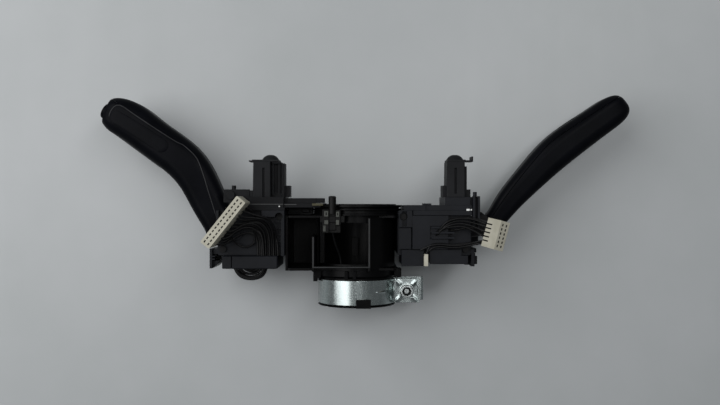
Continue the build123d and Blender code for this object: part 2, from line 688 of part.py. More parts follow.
def parting_region(points, towards, offset):
    """Tall solid on one side of the parting line, moved off it by offset."""
    shift = Vector(*towards).normalized() * offset
    far = Vector(*towards).normalized() * 60
    moved = [(x + shift.X, y + shift.Y) for x, y in points]
    first, last = moved[0], moved[-1]
    with BuildPart() as region:
        with BuildSketch(Plane.XY.offset(-40)) as outline:
            with BuildLine() as edge:
                Spline(*moved)
                Polyline(
                    last,
                    (last[0] + far.X, last[1] + far.Y),
                    (first[0] + far.X, first[1] + far.Y),
                    first,
                )
            make_face(edge.line.edges())
        extrude(outline.sketch, amount=80)
    return region.part


def stalk_shell(stations, points, towards, pivot, opening):
    """One hollow half of a stalk, on the given side of the parting line."""
    with BuildPart() as shell:
        add(stalk_body(stations, 0))
        add(stalk_body(stations, SHELL), mode=Mode.SUBTRACT)
        add(parting_region(points, towards, PARTING_GAP), mode=Mode.INTERSECT)
        rod_z(pivot[0], pivot[1], ROOT_CLEAR_R, -20, 20, mode=Mode.SUBTRACT)
        add(opening, mode=Mode.SUBTRACT)
    # The pivot clearance can leave a loose corner, which is dropped.
    return shell.part.solids().sort_by(SortBy.VOLUME)[-1]


def stalk_arm(points, width, half, eye):
    """Flat arm from the pivot eye, through the root, into the hollow stalk."""
    with BuildPart() as arm:
        with BuildSketch(box_sketch_plane(-half)) as outline:
            with BuildLine() as route:
                Polyline(*points)
            trace(route.line.edges(), line_width=width)
            with Locations(points[0]):
                Circle(eye)
                Circle(PIN_R + PIN_CLEAR, mode=Mode.SUBTRACT)
        extrude(outline.sketch, amount=2 * half)
    return arm.part


BUTTON_PLACE = Plane((-158.9, 113.2, 0), x_dir=(0, 0, 1), z_dir=(-0.88, 0.475, 0))
BUTTON_R = 5.0
BUTTON_PROUD = 3.0
SLIDER_PLACE = Plane((136.6, 106.3, 0), x_dir=(0.83, 0.558, 0), z_dir=(-0.558, 0.83, 0))
SLIDER_LONG = 8.0
SLIDER_WIDE = 5.0
SLIDER_TRAVEL = 4.0

with BuildPart() as button_hole:
    with BuildSketch(BUTTON_PLACE.offset(-6)):
        Circle(BUTTON_R + 0.3)
    extrude(amount=16)

with BuildPart() as slider_slot:
    with BuildSketch(SLIDER_PLACE.offset(-5)):
        RectangleRounded(SLIDER_LONG + 2 * SLIDER_TRAVEL + 0.6, SLIDER_WIDE + 0.5, 1.0)
    extrude(amount=10)

LEFT_TO_DRIVER = (0.6, 0.8)
LEFT_TO_REAR = (-0.6, -0.8)
RIGHT_TO_DRIVER = (-0.6, 0.8)
RIGHT_TO_REAR = (0.6, -0.8)
LEFT_ARM_ROUTE = [LEFT_PIVOT, (-84.0, 38.5), (-92.0, 50.5), (-97.6, 62.5)]
RIGHT_ARM_ROUTE = [RIGHT_PIVOT, (80.0, 38.6), (87.4, 44.0), (98.0, 57.0)]

keep(
    "left_rear_shell",
    stalk_shell(
        LEFT_STATIONS, LEFT_PARTING, LEFT_TO_REAR, LEFT_PIVOT, button_hole.part
    ),
)
keep(
    "left_front_shell",
    stalk_shell(
        LEFT_STATIONS, LEFT_PARTING, LEFT_TO_DRIVER, LEFT_PIVOT, button_hole.part
    ),
)
keep(
    "right_rear_shell",
    stalk_shell(
        RIGHT_STATIONS, RIGHT_PARTING, RIGHT_TO_REAR, RIGHT_PIVOT, slider_slot.part
    ),
)
keep(
    "right_front_shell",
    stalk_shell(
        RIGHT_STATIONS, RIGHT_PARTING, RIGHT_TO_DRIVER, RIGHT_PIVOT, slider_slot.part
    ),
)
left_arm = stalk_arm(LEFT_ARM_ROUTE, 8.6, ARM_HALF, 6.4)
keep("left_arm", left_arm)
right_arm = stalk_arm(RIGHT_ARM_ROUTE, 6.4, 3.6, 5.0)
keep("right_arm", right_arm)

with BuildPart() as left_end_button:
    with BuildSketch(BUTTON_PLACE.offset(-3.4)):
        Circle(BUTTON_R + 0.9)
    extrude(amount=-1.0)
    with BuildSketch(BUTTON_PLACE.offset(-3.4)):
        Circle(BUTTON_R)
    extrude(amount=3.4 + BUTTON_PROUD)
    thumb_face = left_end_button.faces().sort_by(Axis(BUTTON_PLACE.origin, BUTTON_PLACE.z_dir))[-1]
    fillet(thumb_face.edges(), 1.2)
    with BuildSketch(BUTTON_PLACE.offset(-4.4)):
        Circle(2.0)
    extrude(amount=-4.0)
keep("left_end_button", left_end_button.part)

with BuildPart() as right_interval_slider:
    with BuildSketch(SLIDER_PLACE.offset(-1.0)):
        RectangleRounded(SLIDER_LONG, SLIDER_WIDE, 1.2)
    extrude(amount=2.2)
    with BuildSketch(SLIDER_PLACE.offset(-2.6)):
        Rectangle(SLIDER_LONG - 2.0, SLIDER_WIDE - 1.0)
    extrude(amount=1.6)
    # Grip ribs across the thumb face.
    with BuildSketch(SLIDER_PLACE.offset(1.2)):
        with GridLocations(1.8, 1, 4, 1):
            Rectangle(0.7, SLIDER_WIDE - 1.6)
    extrude(amount=0.5)
    # Retaining foot inside the shell.
    with BuildSketch(SLIDER_PLACE.offset(-3.4)):
        Rectangle(SLIDER_LONG, SLIDER_WIDE + 3.0)
    extrude(amount=0.8)
keep("right_interval_slider", right_interval_slider.part)

BOOT_STATIONS = [
    (68.6, 38.6, 11.0, 11.6),
    (74.6, 39.8, 12.6, 12.4),
    (80.0, 42.4, 15.5, 13.6),
    (85.0, 44.8, 16.0, 14.0),
    (90.0, 46.0, 12.6, 13.6),
]
with BuildPart() as right_root_boot:
    add(stalk_body(BOOT_STATIONS, 0))
    add(right_arm, mode=Mode.SUBTRACT)
    split(bisect_by=Plane((86.8, 43.15, 0), z_dir=(0.62, 0.785, 0)), keep=Keep.BOTTOM)
keep("right_root_boot", right_root_boot.part)

# ---------------------------------------------------------------- trim towers

TOWER_LOW = 3.0
TOWER_DEPTH = 17.0
TOWER_HOLE_DEPTH = 15.0
DOME_R = 5.4
DOME_HIGH = 3.4
CAP_THICK = 1.2


def tower_hole(x):
    """Pilot hole of a trim screw, down the tower from its top."""
    bottom = TOWER_TOP - TOWER_HOLE_DEPTH
    rod_y(x, TOWER_Z, TOWER_HOLE_R, bottom, TOWER_TOP + 10, mode=Mode.SUBTRACT)


def tower_post(x, width):
    """Main post of a tower, drawn in slightly towards its top."""
    centre = (x, TOWER_FOOT, TOWER_LOW + TOWER_DEPTH / 2)
    with BuildSketch(Plane(centre, x_dir=(-1, 0, 0), z_dir=(0, 1, 0))) as foot:
        RectangleRounded(width, TOWER_DEPTH, 0.8)
    extrude(foot.sketch, amount=TOWER_TOP - TOWER_FOOT, taper=0.8)


def dome(x):
    """Low dome on the tower cap, round the trim screw's way in."""
    axis = Axis((x, TOWER_TOP, TOWER_Z), (0, 1, 0))
    place = Plane((x, TOWER_TOP + CAP_THICK, TOWER_Z), x_dir=(1, 0, 0), z_dir=(0, 0, 1))
    with BuildSketch(place) as profile:
        with BuildLine() as edge:
            Line((0, 0), (DOME_R, 0))
            ThreePointArc((DOME_R, 0), (DOME_R * 0.72, DOME_HIGH * 0.62), (0, DOME_HIGH))
            Line((0, DOME_HIGH), (0, 0))
        make_face(edge.line.edges())
    revolve(profile.sketch, axis=axis)


LEFT_HOLE_X = -53.7
RIGHT_HOLE_X = 61.5

with BuildPart() as left_tower:
    tower_post(LEFT_TOWER_X, 11.2)
    block(-53.4, -44.6, TOWER_FOOT, 79.8, TOWER_LOW, 15.4)
    block(-45.0, -41.4, TOWER_FOOT, 66.0, TOWER_LOW, 13.0)
    block(-66.0, -63.4, TOWER_FOOT, 63.0, 10.0, 17.5)
    # Groove down the face, and ribs down the shoulder.
    block(-57.8, -56.4, TOWER_FOOT, 76.8, 18.4, 21.0, mode=Mode.SUBTRACT)
    for x in (-51.6, -49.4, -47.2):
        block(x, x + 0.9, 61.5, 80.0, 14.6, 16.0, mode=Mode.SUBTRACT)
    tower_hole(LEFT_HOLE_X)
keep("left_tower", left_tower.part)

with BuildPart() as left_tower_cap:
    block(-64.2, -48.0, TOWER_TOP, TOWER_TOP + CAP_THICK, TOWER_LOW + 1, 19.6)
    block(-66.4, -64.2, TOWER_TOP, TOWER_TOP + 0.8, TOWER_LOW + 3, 18.0)
    dome(LEFT_HOLE_X)
    rod_y(LEFT_HOLE_X, TOWER_Z, TOWER_HOLE_R, TOWER_TOP - 1, TOWER_TOP + 10, mode=Mode.SUBTRACT)
keep("left_tower_cap", left_tower_cap.part)

with BuildPart() as right_tower:
    tower_post(RIGHT_TOWER_X, 11.6)
    block(53.4, 55.8, TOWER_FOOT, 66.0, TOWER_LOW, 16.0)
    block(66.2, 68.8, TOWER_FOOT, 78.0, TOWER_LOW, 13.0)
    block(66.6, 70.8, TOWER_FOOT, 63.6, TOWER_LOW, 15.0)
    block(60.3, 61.7, 61.0, 76.7, 18.4, 21.0, mode=Mode.SUBTRACT)
    tower_hole(RIGHT_HOLE_X)
keep("right_tower", right_tower.part)

with BuildPart() as right_tower_cap:
    block(56.0, 67.2, TOWER_TOP, TOWER_TOP + CAP_THICK, TOWER_LOW + 1, 19.6)
    block(67.2, 72.0, TOWER_TOP, TOWER_TOP + 0.9, 8.0, 18.0)
    block(71.1, 72.0, TOWER_TOP + 0.9, TOWER_TOP + 3.2, 8.0, 18.0)
    dome(RIGHT_HOLE_X)
    rod_y(RIGHT_HOLE_X, TOWER_Z, TOWER_HOLE_R, TOWER_TOP - 1, TOWER_TOP + 10, mode=Mode.SUBTRACT)
keep("right_tower_cap", right_tower_cap.part)

# ---------------------------------------------------------------- fasteners and plugs

with BuildPart() as lid_screw_set:
    for x, y in lid_screws(LEFT_OUT, LEFT_IN) + lid_screws(RIGHT_OUT, RIGHT_IN):
        rod_z(x, y, SCREW_HOLE_R - 0.05, 5.0, CASE_TOP + COVER_THICK + 0.2)
        rod_z(x, y, SCREW_HEAD_R, CASE_TOP + COVER_THICK, CASE_TOP + COVER_THICK + 1.5)
keep("lid_screw_set", lid_screw_set.part)

LEFT_PLUG_ALONG = (math.cos(math.radians(PLUG_TILT)), math.sin(math.radians(PLUG_TILT)), 0)
LEFT_PLUG_FACE = Plane((-78.1, 43.9, 43.0), x_dir=LEFT_PLUG_ALONG, z_dir=(0, 0, 1))
LEFT_PLUG_DEEP = 20.5
LEFT_PLUG_LONG = 34.6
LEFT_PLUG_WIDE = 6.6
LEFT_PLUG_WAYS = 13
PLUG_PITCH = 2.54

with BuildPart() as left_plug:
    with BuildSketch(LEFT_PLUG_FACE):
        Rectangle(LEFT_PLUG_LONG, LEFT_PLUG_WIDE)
    extrude(amount=-LEFT_PLUG_DEEP)
    chamfer(left_plug.edges().filter_by(Axis.Z), 0.5)
    with BuildSketch(LEFT_PLUG_FACE):
        with GridLocations(PLUG_PITCH, 2.7, LEFT_PLUG_WAYS, 2):
            Rectangle(1.5, 0.8)
    extrude(amount=-2.5, mode=Mode.SUBTRACT)
keep("left_plug", left_plug.part)

RIGHT_PLUG_FACE = Plane((86.2, 35.6, 38.0), x_dir=(0.259, 0.966, 0), z_dir=(0.5, -0.134, 0.856))
RIGHT_PLUG_DEEP = 12.0
RIGHT_PLUG_LONG = 17.6
RIGHT_PLUG_WIDE = 7.0
RIGHT_PLUG_WAYS = 6

with BuildPart() as right_plug:
    with BuildSketch(RIGHT_PLUG_FACE):
        Rectangle(RIGHT_PLUG_LONG, RIGHT_PLUG_WIDE)
    extrude(amount=-RIGHT_PLUG_DEEP)
    with BuildSketch(RIGHT_PLUG_FACE):
        with GridLocations(PLUG_PITCH, 2.9, RIGHT_PLUG_WAYS, 2):
            Rectangle(1.4, 1.2)
    extrude(amount=-2.5, mode=Mode.SUBTRACT)
    # Notches on the wire side part the fingers that hold the terminals.
    with BuildSketch(RIGHT_PLUG_FACE.offset(-RIGHT_PLUG_DEEP)):
        with Locations((0, RIGHT_PLUG_WIDE / 2 - 1.0)):
            with GridLocations(PLUG_PITCH, 1, RIGHT_PLUG_WAYS - 1, 1):
                Rectangle(0.8, 2.2)
    extrude(amount=5.0, mode=Mode.SUBTRACT)
keep("right_plug", right_plug.part)

LAMP_REAR = 37.0
with BuildPart() as lock_lamp_plug:
    block(-22.0, -7.0, 43.2, FRAME_FRONT, TOP_Z, 29.0)
    block(-19.5, -9.5, LAMP_REAR, 43.4, TOP_Z + 1, 28.0)
    rod_y(-14.5, 28.8, 2.3, 43.0, 59.4)
    for x in (-20.4, -11.2):
        for y in (38.4, 43.9):
            block(x, x + 2.6, y, y + 2.6, 27.0, 30.2)
    rod_y(0, 0, BARREL_R, LAMP_REAR - 1, FRAME_FRONT + 1, mode=Mode.SUBTRACT)
keep("lock_lamp_plug", lock_lamp_plug.part)
# ---------------------------------------------------------------- leads


def corner_radii(points):
    """Largest even arc at each corner: 0.45 of the shorter run over tan(half turn)."""
    radii = []
    for before, here, after in zip(points, points[1:], points[2:]):
        run_in = Vector(*here) - Vector(*before)
        run_out = Vector(*after) - Vector(*here)
        half_turn = math.radians(run_in.get_angle(run_out)) / 2
        radii.append(0.45 * min(run_in.length, run_out.length) / math.tan(half_turn))
    return radii


def lead(name, points, radius):
    """Insulated wire along straight runs joined by tangent arcs."""
    radii = corner_radii(points)
    with BuildPart() as wire:
        with BuildLine() as route:
            FilletPolyline(*points, radius=radii)
        path = route.wires()[0]
        with BuildSketch(Plane(origin=path @ 0, z_dir=path % 0)) as section:
            Circle(radius)
        sweep(section.sketch, path=path)
    keep(name, wire.part)


LEFT_WIRES = 5
WIRE_STARTS = [-13.0 + 6.0 * index for index in range(LEFT_WIRES)]
WIRE_END_Z = 18.2


def left_route(index):
    """Route of one lead from the plug's side, over the eye and down behind the block."""
    out = LEFT_PLUG_FACE.y_dir * -1
    along = LEFT_PLUG_FACE.x_dir
    start = LEFT_PLUG_FACE.origin + along * WIRE_STARTS[index] + out * (LEFT_PLUG_WIDE / 2)
    bend = start + out * 3.4 + along * 1.2
    rise = 1.5 * index
    return [
        (start.X, start.Y, 23.8 + rise),
        (bend.X, bend.Y, 22.6 + rise),
        (-73.4 + 3.6 * index, 39.6 + 1.9 * index, 20.8 + rise),
        (-66.4 + 3.2 * index, 40.4 + 1.4 * index, 19.8 + 1.2 * index),
        (-60.8 + 2.7 * index, 36.6 + 0.9 * index, 18.8 + 0.6 * index),
        (-59.2 + 2.4 * index, 30.0, WIRE_END_Z),
        (-59.4 + 2.4 * index, MODULE_REAR, WIRE_END_Z),
    ]


for index in range(LEFT_WIRES):
    lead("left_lead_" + str(index + 1), left_route(index), WIRE_R)

PLUG_BACK = RIGHT_PLUG_FACE.origin - RIGHT_PLUG_FACE.z_dir * RIGHT_PLUG_DEEP


def right_route(offset, waypoints):
    """Route of a lead that leaves the back of the right plug."""
    start = PLUG_BACK + RIGHT_PLUG_FACE.x_dir * offset
    clear = start - RIGHT_PLUG_FACE.z_dir * 4.0
    return [tuple(start), tuple(clear)] + waypoints


RIGHT_LEADS = [
    (6.0, [(70.4, 46.2, 22.9), (63.4, 46.2, 20.6), (56.4, 44.6, 19.2)]),
    (0.0, [(69.0, 41.0, 22.9), (62.6, 38.6, 20.4), (56.4, 38.4, 19.2)]),
    (-6.0, [
        (67.6, 30.6, 22.6), (58.8, 29.4, 22.2), (50.6, 30.6, 22.3), (44.4, 29.4, 22.1),
        (42.8, INSERT_FRONT, 21.8),
    ]),
]
for index, (offset, waypoints) in enumerate(RIGHT_LEADS):
    lead("right_lead_" + str(index + 1), right_route(offset, waypoints), WIRE_R)

LAMP_LEAD_ROUTE = [
    (-14.5, LAMP_REAR, 23.6), (-13.4, 31.0, 21.4), (-11.0, 25.0, 18.4), (-9.6, 20.0, 16.6),
    (-9.4, FRAME_REAR + WALL, 16.2),
]
lead("lock_lamp_lead", LAMP_LEAD_ROUTE, WIRE_R)

HARNESS_LOOP_ROUTE = [
    (-78.0, 14.8, 2.0), (-76.2, 9.4, 1.4), (-70.0, 6.4, 0.8), (-62.6, 7.0, 0.8),
    (-58.0, 10.4, 1.4), (-57.4, 14.8, 2.0),
]
lead("harness_loop", HARNESS_LOOP_ROUTE, WIRE_R + 0.3)
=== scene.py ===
from math import atan2, cos, pi, radians, sin, sqrt

import bmesh
import bpy
import numpy as np
from mathutils import Matrix, Vector


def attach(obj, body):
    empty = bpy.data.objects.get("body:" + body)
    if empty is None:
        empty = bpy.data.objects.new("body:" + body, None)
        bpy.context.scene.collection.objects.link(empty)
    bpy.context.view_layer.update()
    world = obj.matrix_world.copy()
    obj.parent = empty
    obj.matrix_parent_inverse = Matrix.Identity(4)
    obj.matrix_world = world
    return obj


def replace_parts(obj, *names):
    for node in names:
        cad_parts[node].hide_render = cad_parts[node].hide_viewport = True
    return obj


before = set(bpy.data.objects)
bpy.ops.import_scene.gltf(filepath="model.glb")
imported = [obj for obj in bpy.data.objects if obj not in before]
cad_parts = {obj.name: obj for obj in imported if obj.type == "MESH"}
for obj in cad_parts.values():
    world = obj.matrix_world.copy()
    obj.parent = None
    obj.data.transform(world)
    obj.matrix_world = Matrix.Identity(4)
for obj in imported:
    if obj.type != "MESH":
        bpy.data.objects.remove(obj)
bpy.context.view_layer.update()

# Viewpoint: a camera straight above the bench, half a metre over the middle of the switch, with
# the steering wheel side at the top of the view.
LENS_MM = 39.06
SENSOR_MM = 36.0
NEAREST_SEEN = 0.01
CAMERA_AT = (0.0022, 0.0555, 0.5)
camera_data = bpy.data.cameras.new("viewpoint")
camera_data.lens = LENS_MM
camera_data.sensor_width = SENSOR_MM
camera_data.clip_start = NEAREST_SEEN
camera = bpy.data.objects.new("viewpoint", camera_data)
camera.location = CAMERA_AT
bpy.context.collection.objects.link(camera)
bpy.context.scene.camera = camera

# Bench: painted sheet steel under the whole switch, pale grey with a faint mottle and fine wipe
# marks. The classes and functions that every finish and every surface uses start here.
BENCH_Z = -0.0301
BENCH_HALF = 5.0
BENCH_POINTS = 3


class Value:
    """One socket of a finish. The operators add Math nodes, so a formula reads as plain sums."""

    def __init__(self, finish, socket):
        self.finish = finish
        self.socket = socket

    def _math(self, operation, first, second):
        settings = {"operation": operation, "use_clamp": False}
        return self.finish.node("ShaderNodeMath", settings, {0: first, 1: second})

    def __add__(self, other):
        return self._math("ADD", self, other)

    def __sub__(self, other):
        return self._math("SUBTRACT", self, other)

    def __rsub__(self, other):
        return self._math("SUBTRACT", other, self)

    def __mul__(self, other):
        return self._math("MULTIPLY", self, other)

    def __pow__(self, other):
        return self._math("POWER", self, other)

    __radd__ = __add__
    __rmul__ = __mul__

    def above(self, level):
        """1 where the value is above the level, 0 elsewhere."""
        return self._math("GREATER_THAN", self, level)


# Sockets of a Mix node that is set to colours, which carry the same names as its others.
MIX_FIRST = 6
MIX_SECOND = 7
MIX_RESULT = 2
GRAIN_ROUGHNESS = 0.6
BEVEL_SAMPLES = 6


class Finish:
    """A material whose nodes are added one by one, from the grain up to its one shader."""

    def __init__(self, name):
        self.material = bpy.data.materials.new(name)
        self.material.use_nodes = True
        self.tree = self.material.node_tree
        self.tree.nodes.clear()

    def node(self, kind, settings, inputs, output=0):
        """Adds one node, with a number or another value's link for each socket it is given."""
        made = self.tree.nodes.new(kind)
        for key, setting in settings.items():
            setattr(made, key, setting)
        for key, given in inputs.items():
            if isinstance(given, Value):
                self.tree.links.new(given.socket, made.inputs[key])
            else:
                made.inputs[key].default_value = given
        return Value(self, made.outputs[output])

    def place(self):
        """Object coordinates of the point being shaded, in metres."""
        return self.node("ShaderNodeTexCoord", {}, {}, "Object")

    def grain(self, scale, detail=4.0, stretch=(1, 1, 1)):
        """Noise from 0 to 1, with this many lumps to the metre, stretched along the axes."""
        spread = self.node("ShaderNodeMapping", {}, {"Vector": self.place(), "Scale": stretch})
        lumps = {"Vector": spread, "Scale": scale, "Detail": detail, "Roughness": GRAIN_ROUGHNESS}
        return self.node("ShaderNodeTexNoise", {}, lumps)

    def between(self, share, first, second):
        """The first colour where the share is 0, the second where it is 1."""
        colours = {"Factor": share, MIX_FIRST: (*first, 1), MIX_SECOND: (*second, 1)}
        return self.node("ShaderNodeMix", {"data_type": "RGBA"}, colours, MIX_RESULT)

    def band(self, share, low, high):
        """The share stretched so that low gives 0 and high gives 1, cut off outside them."""
        ends = {"From Min": low, "From Max": high, "To Min": 0.0, "To Max": 1.0}
        return self.node("ShaderNodeMapRange", {"clamp": True}, {"Value": share, **ends})

    def bump(self, height, strength, distance, normal=None):
        """The normal of a surface with this relief, laid over another normal where one is given."""
        inputs = {"Height": height, "Strength": strength, "Distance": distance}
        if normal is not None:
            inputs["Normal"] = normal
        return self.node("ShaderNodeBump", {}, inputs)

    def soft_edges(self, radius):
        """The normal with every edge rounded off by this radius, as moulded and pressed edges are."""
        return self.node("ShaderNodeBevel", {"samples": BEVEL_SAMPLES}, {"Radius": radius}, "Normal")

    def surface(self, **inputs):
        """Finishes with one Principled shader. Keys are its sockets, with _ for a space."""
        sockets = {key.replace("_", " "): given for key, given in inputs.items()}
        shader = self.node("ShaderNodeBsdfPrincipled", {}, sockets, "BSDF")
        end = self.tree.nodes.new("ShaderNodeOutputMaterial")
        self.tree.links.new(shader.socket, end.inputs["Surface"])
        return self.material


def rgb(red, green, blue):
    """Display numbers from 0 to 255 turned into the linear ones that a shader takes, by the sRGB
    curve: a straight line for the darkest tones and a power of 2.4 above them."""
    shown = np.array([red, green, blue]) / 255
    linear = np.where(shown > 0.04045, ((shown + 0.055) / 1.055) ** 2.4, shown / 12.92)
    return tuple(float(part) for part in linear)


def sheet_mesh(name, points, closed=False):
    """Mesh of a grid of points, rows by columns, with one face to a cell. Closed rows wrap."""
    rows, columns = points.shape[:2]
    row = np.arange(rows - 1)
    column = np.arange(columns if closed else columns - 1)
    row, column = [part.ravel() for part in np.meshgrid(row, column, indexing="ij")]
    here, beyond = row * columns, (row + 1) * columns
    beside = (column + 1) % columns
    corners = [here + column, beyond + column, beyond + beside, here + beside]
    mesh = bpy.data.meshes.new(name)
    mesh.from_pydata(points.reshape(-1, 3).tolist(), [], np.stack(corners, 1).tolist())
    return mesh


def put(name, mesh, finish, smooth=True):
    """Puts a finished mesh in the scene at the origin, with one material."""
    made = bpy.data.objects.new(name, mesh)
    made.data.materials.append(finish)
    if smooth:
        mesh.shade_smooth()
    bpy.context.collection.objects.link(made)
    return made


bench_paint = Finish("bench_paint")
mottle = bench_paint.grain(7.0, 5.0)
wiped = bench_paint.grain(60.0, 6.0, (1.0, 0.12, 1.0))
grey = bench_paint.between(bench_paint.band(mottle, 0.3, 0.7), rgb(163, 167, 168), rgb(172, 175, 177))
bench_paint.surface(
    Base_Color=grey,
    Roughness=0.34 + 0.14 * wiped,
    Normal=bench_paint.bump(bench_paint.grain(900.0, 3.0), 0.05, 0.0002),
    Coat_Weight=0.0,
)
across = np.linspace(-BENCH_HALF, BENCH_HALF, BENCH_POINTS)
bench_x, bench_y = np.meshgrid(across, across, indexing="ij")
bench_grid = np.stack([bench_x, bench_y, np.full_like(bench_x, BENCH_Z)], -1)
bench = put("bench", sheet_mesh("bench", bench_grid), bench_paint.material)

# Lamps: a wide soft ceiling panel on the left, a smaller one on the right and a pale room, at the
# level where colours look as they are written.
ROOM_LEVEL = 0.15
ROOM_COLOUR = (0.93, 0.97, 1.0, 1)
LIT_POINT = (0.0, 0.04, 0.0)
world = bpy.data.worlds.new("room")
world.use_nodes = True
background = world.node_tree.nodes["Background"].inputs
background["Color"].default_value = ROOM_COLOUR
background["Strength"].default_value = ROOM_LEVEL
bpy.context.scene.world = world


def panel(name, place, width, height, power):
    """A flat soft lamp of this size in metres and power in watts, turned to the lit point."""
    lamp_data = bpy.data.lights.new(name, "AREA")
    lamp_data.shape = "RECTANGLE"
    lamp_data.size = width
    lamp_data.size_y = height
    lamp_data.energy = power
    lamp = bpy.data.objects.new(name, lamp_data)
    lamp.location = place
    away = Vector(place) - Vector(LIT_POINT)
    lamp.rotation_euler = away.to_track_quat("Z", "Y").to_euler()
    bpy.context.collection.objects.link(lamp)


panel("ceiling_left", place=(-0.74, 0.34, 0.92), width=1.25, height=1.1, power=12.6)
panel("ceiling_right", place=(0.36, 0.36, 1.05), width=0.24, height=1.0, power=3.6)
bpy.context.scene.view_settings.view_transform = "Standard"

# Harness leads: thin black wires of soft vinyl over copper strands. Each leaves its plug, lies
# across the module and goes down into the case.
wire_vinyl = Finish("wire_vinyl")
wire_vinyl.surface(
    Base_Color=wire_vinyl.between(wire_vinyl.grain(900.0), rgb(6, 6, 7), rgb(12, 12, 13)),
    Roughness=0.34 + 0.1 * wire_vinyl.grain(2400.0),
    Normal=wire_vinyl.bump(wire_vinyl.grain(5000.0), 0.1, 0.0001),
    Specular_IOR_Level=0.2,
)
LEAD_DIAMETER = 0.0012
LOOP_DIAMETER = 0.0018
WIRE_ORDER = 3
WIRE_STEPS = 10
WIRE_ROUNDNESS = 3


def wire(name, route, diameter=LEAD_DIAMETER):
    """A round wire along a smooth line of parabolas that the route's points pull towards them."""
    line = bpy.data.curves.new(name, "CURVE")
    line.dimensions = "3D"
    spline = line.splines.new("NURBS")
    spline.points.add(len(route) - 1)
    weighted = np.c_[np.array(route), np.ones(len(route))]
    spline.points.foreach_set("co", weighted.ravel())
    spline.order_u = WIRE_ORDER
    spline.use_endpoint_u = True
    spline.resolution_u = WIRE_STEPS
    line.bevel_depth = diameter / 2
    line.bevel_resolution = WIRE_ROUNDNESS
    line.use_fill_caps = True
    line.materials.append(wire_vinyl.material)
    made = bpy.data.objects.new(name, line)
    bpy.context.collection.objects.link(made)
    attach(made, "carrier")
    return made


lead_routes = {
    "left_lead_1": (0.0419, [
        (-0.08361, 0.03167, 0.0238), (-0.0802, 0.03049, 0.0226), (-0.0734, 0.0396, 0.0208),
        (-0.0664, 0.0404, 0.0198), (-0.0608, 0.0366, 0.0188), (-0.0592, 0.03, 0.0182),
        (-0.0594, 0.0228, 0.0182),
    ]),
    "left_lead_2": (0.0405, [
        (-0.07987, 0.03637, 0.0253), (-0.07647, 0.03519, 0.0241), (-0.0698, 0.0415, 0.0223),
        (-0.0632, 0.0418, 0.021), (-0.0581, 0.0375, 0.0194), (-0.0568, 0.03, 0.0182),
        (-0.057, 0.0228, 0.0182),
    ]),
    "left_lead_3": (0.0399, [
        (-0.07614, 0.04106, 0.0268), (-0.07273, 0.03989, 0.0256), (-0.0662, 0.0434, 0.0238),
        (-0.06, 0.0432, 0.0222), (-0.0554, 0.0384, 0.02), (-0.0544, 0.03, 0.0182),
        (-0.0546, 0.0228, 0.0182),
    ]),
    "left_lead_4": (0.0402, [
        (-0.0724, 0.04576, 0.0283), (-0.069, 0.04458, 0.0271), (-0.0626, 0.0453, 0.0253),
        (-0.0568, 0.0446, 0.0234), (-0.0527, 0.0393, 0.0206), (-0.052, 0.03, 0.0182),
        (-0.0522, 0.0228, 0.0182),
    ]),
    "left_lead_5": (0.0416, [
        (-0.06867, 0.05045, 0.0298), (-0.06526, 0.04928, 0.0286), (-0.059, 0.0472, 0.0268),
        (-0.0536, 0.046, 0.0246), (-0.05, 0.0402, 0.0212), (-0.0496, 0.03, 0.0182),
        (-0.0498, 0.0228, 0.0182),
    ]),
    "right_lead_3": (0.0416, [
        (0.07865, 0.03141, 0.02773), (0.07665, 0.03195, 0.02431), (0.0676, 0.0306, 0.0226),
        (0.0588, 0.0294, 0.0222), (0.0506, 0.0306, 0.0223), (0.0444, 0.0294, 0.0221),
        (0.0428, 0.0239, 0.0218),
    ]),
}
for name, (length, route) in lead_routes.items():
    lead = wire(name + "_wire", route)
    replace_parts(lead, name)

# Short leads of the right plug and of the lamp plug, of the same wire. They stand for their CAD
# nodes.
short_routes = {
    "right_lead_1": [
        (0.08176, 0.043, 0.02773), (0.07976, 0.04354, 0.02431), (0.0704, 0.0462, 0.0229),
        (0.0634, 0.0462, 0.0206), (0.0564, 0.0446, 0.0192),
    ],
    "right_lead_2": [
        (0.0802, 0.03721, 0.02773), (0.0782, 0.03774, 0.02431), (0.069, 0.041, 0.0229),
        (0.0626, 0.0386, 0.0204), (0.0564, 0.0384, 0.0192),
    ],
    "lock_lamp_lead": [
        (-0.0145, 0.037, 0.0236), (-0.0134, 0.031, 0.0214), (-0.011, 0.025, 0.0184),
        (-0.0096, 0.02, 0.0166), (-0.0094, 0.0151, 0.0162),
    ],
}
for name, route in short_routes.items():
    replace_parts(wire(name + "_wire", route), name)


def more_wires(bundle, routes):
    """Numbered wires of one bundle."""
    for number, route in enumerate(routes, 1):
        made = wire("%s_more_wire_%d" % (bundle, number), route)


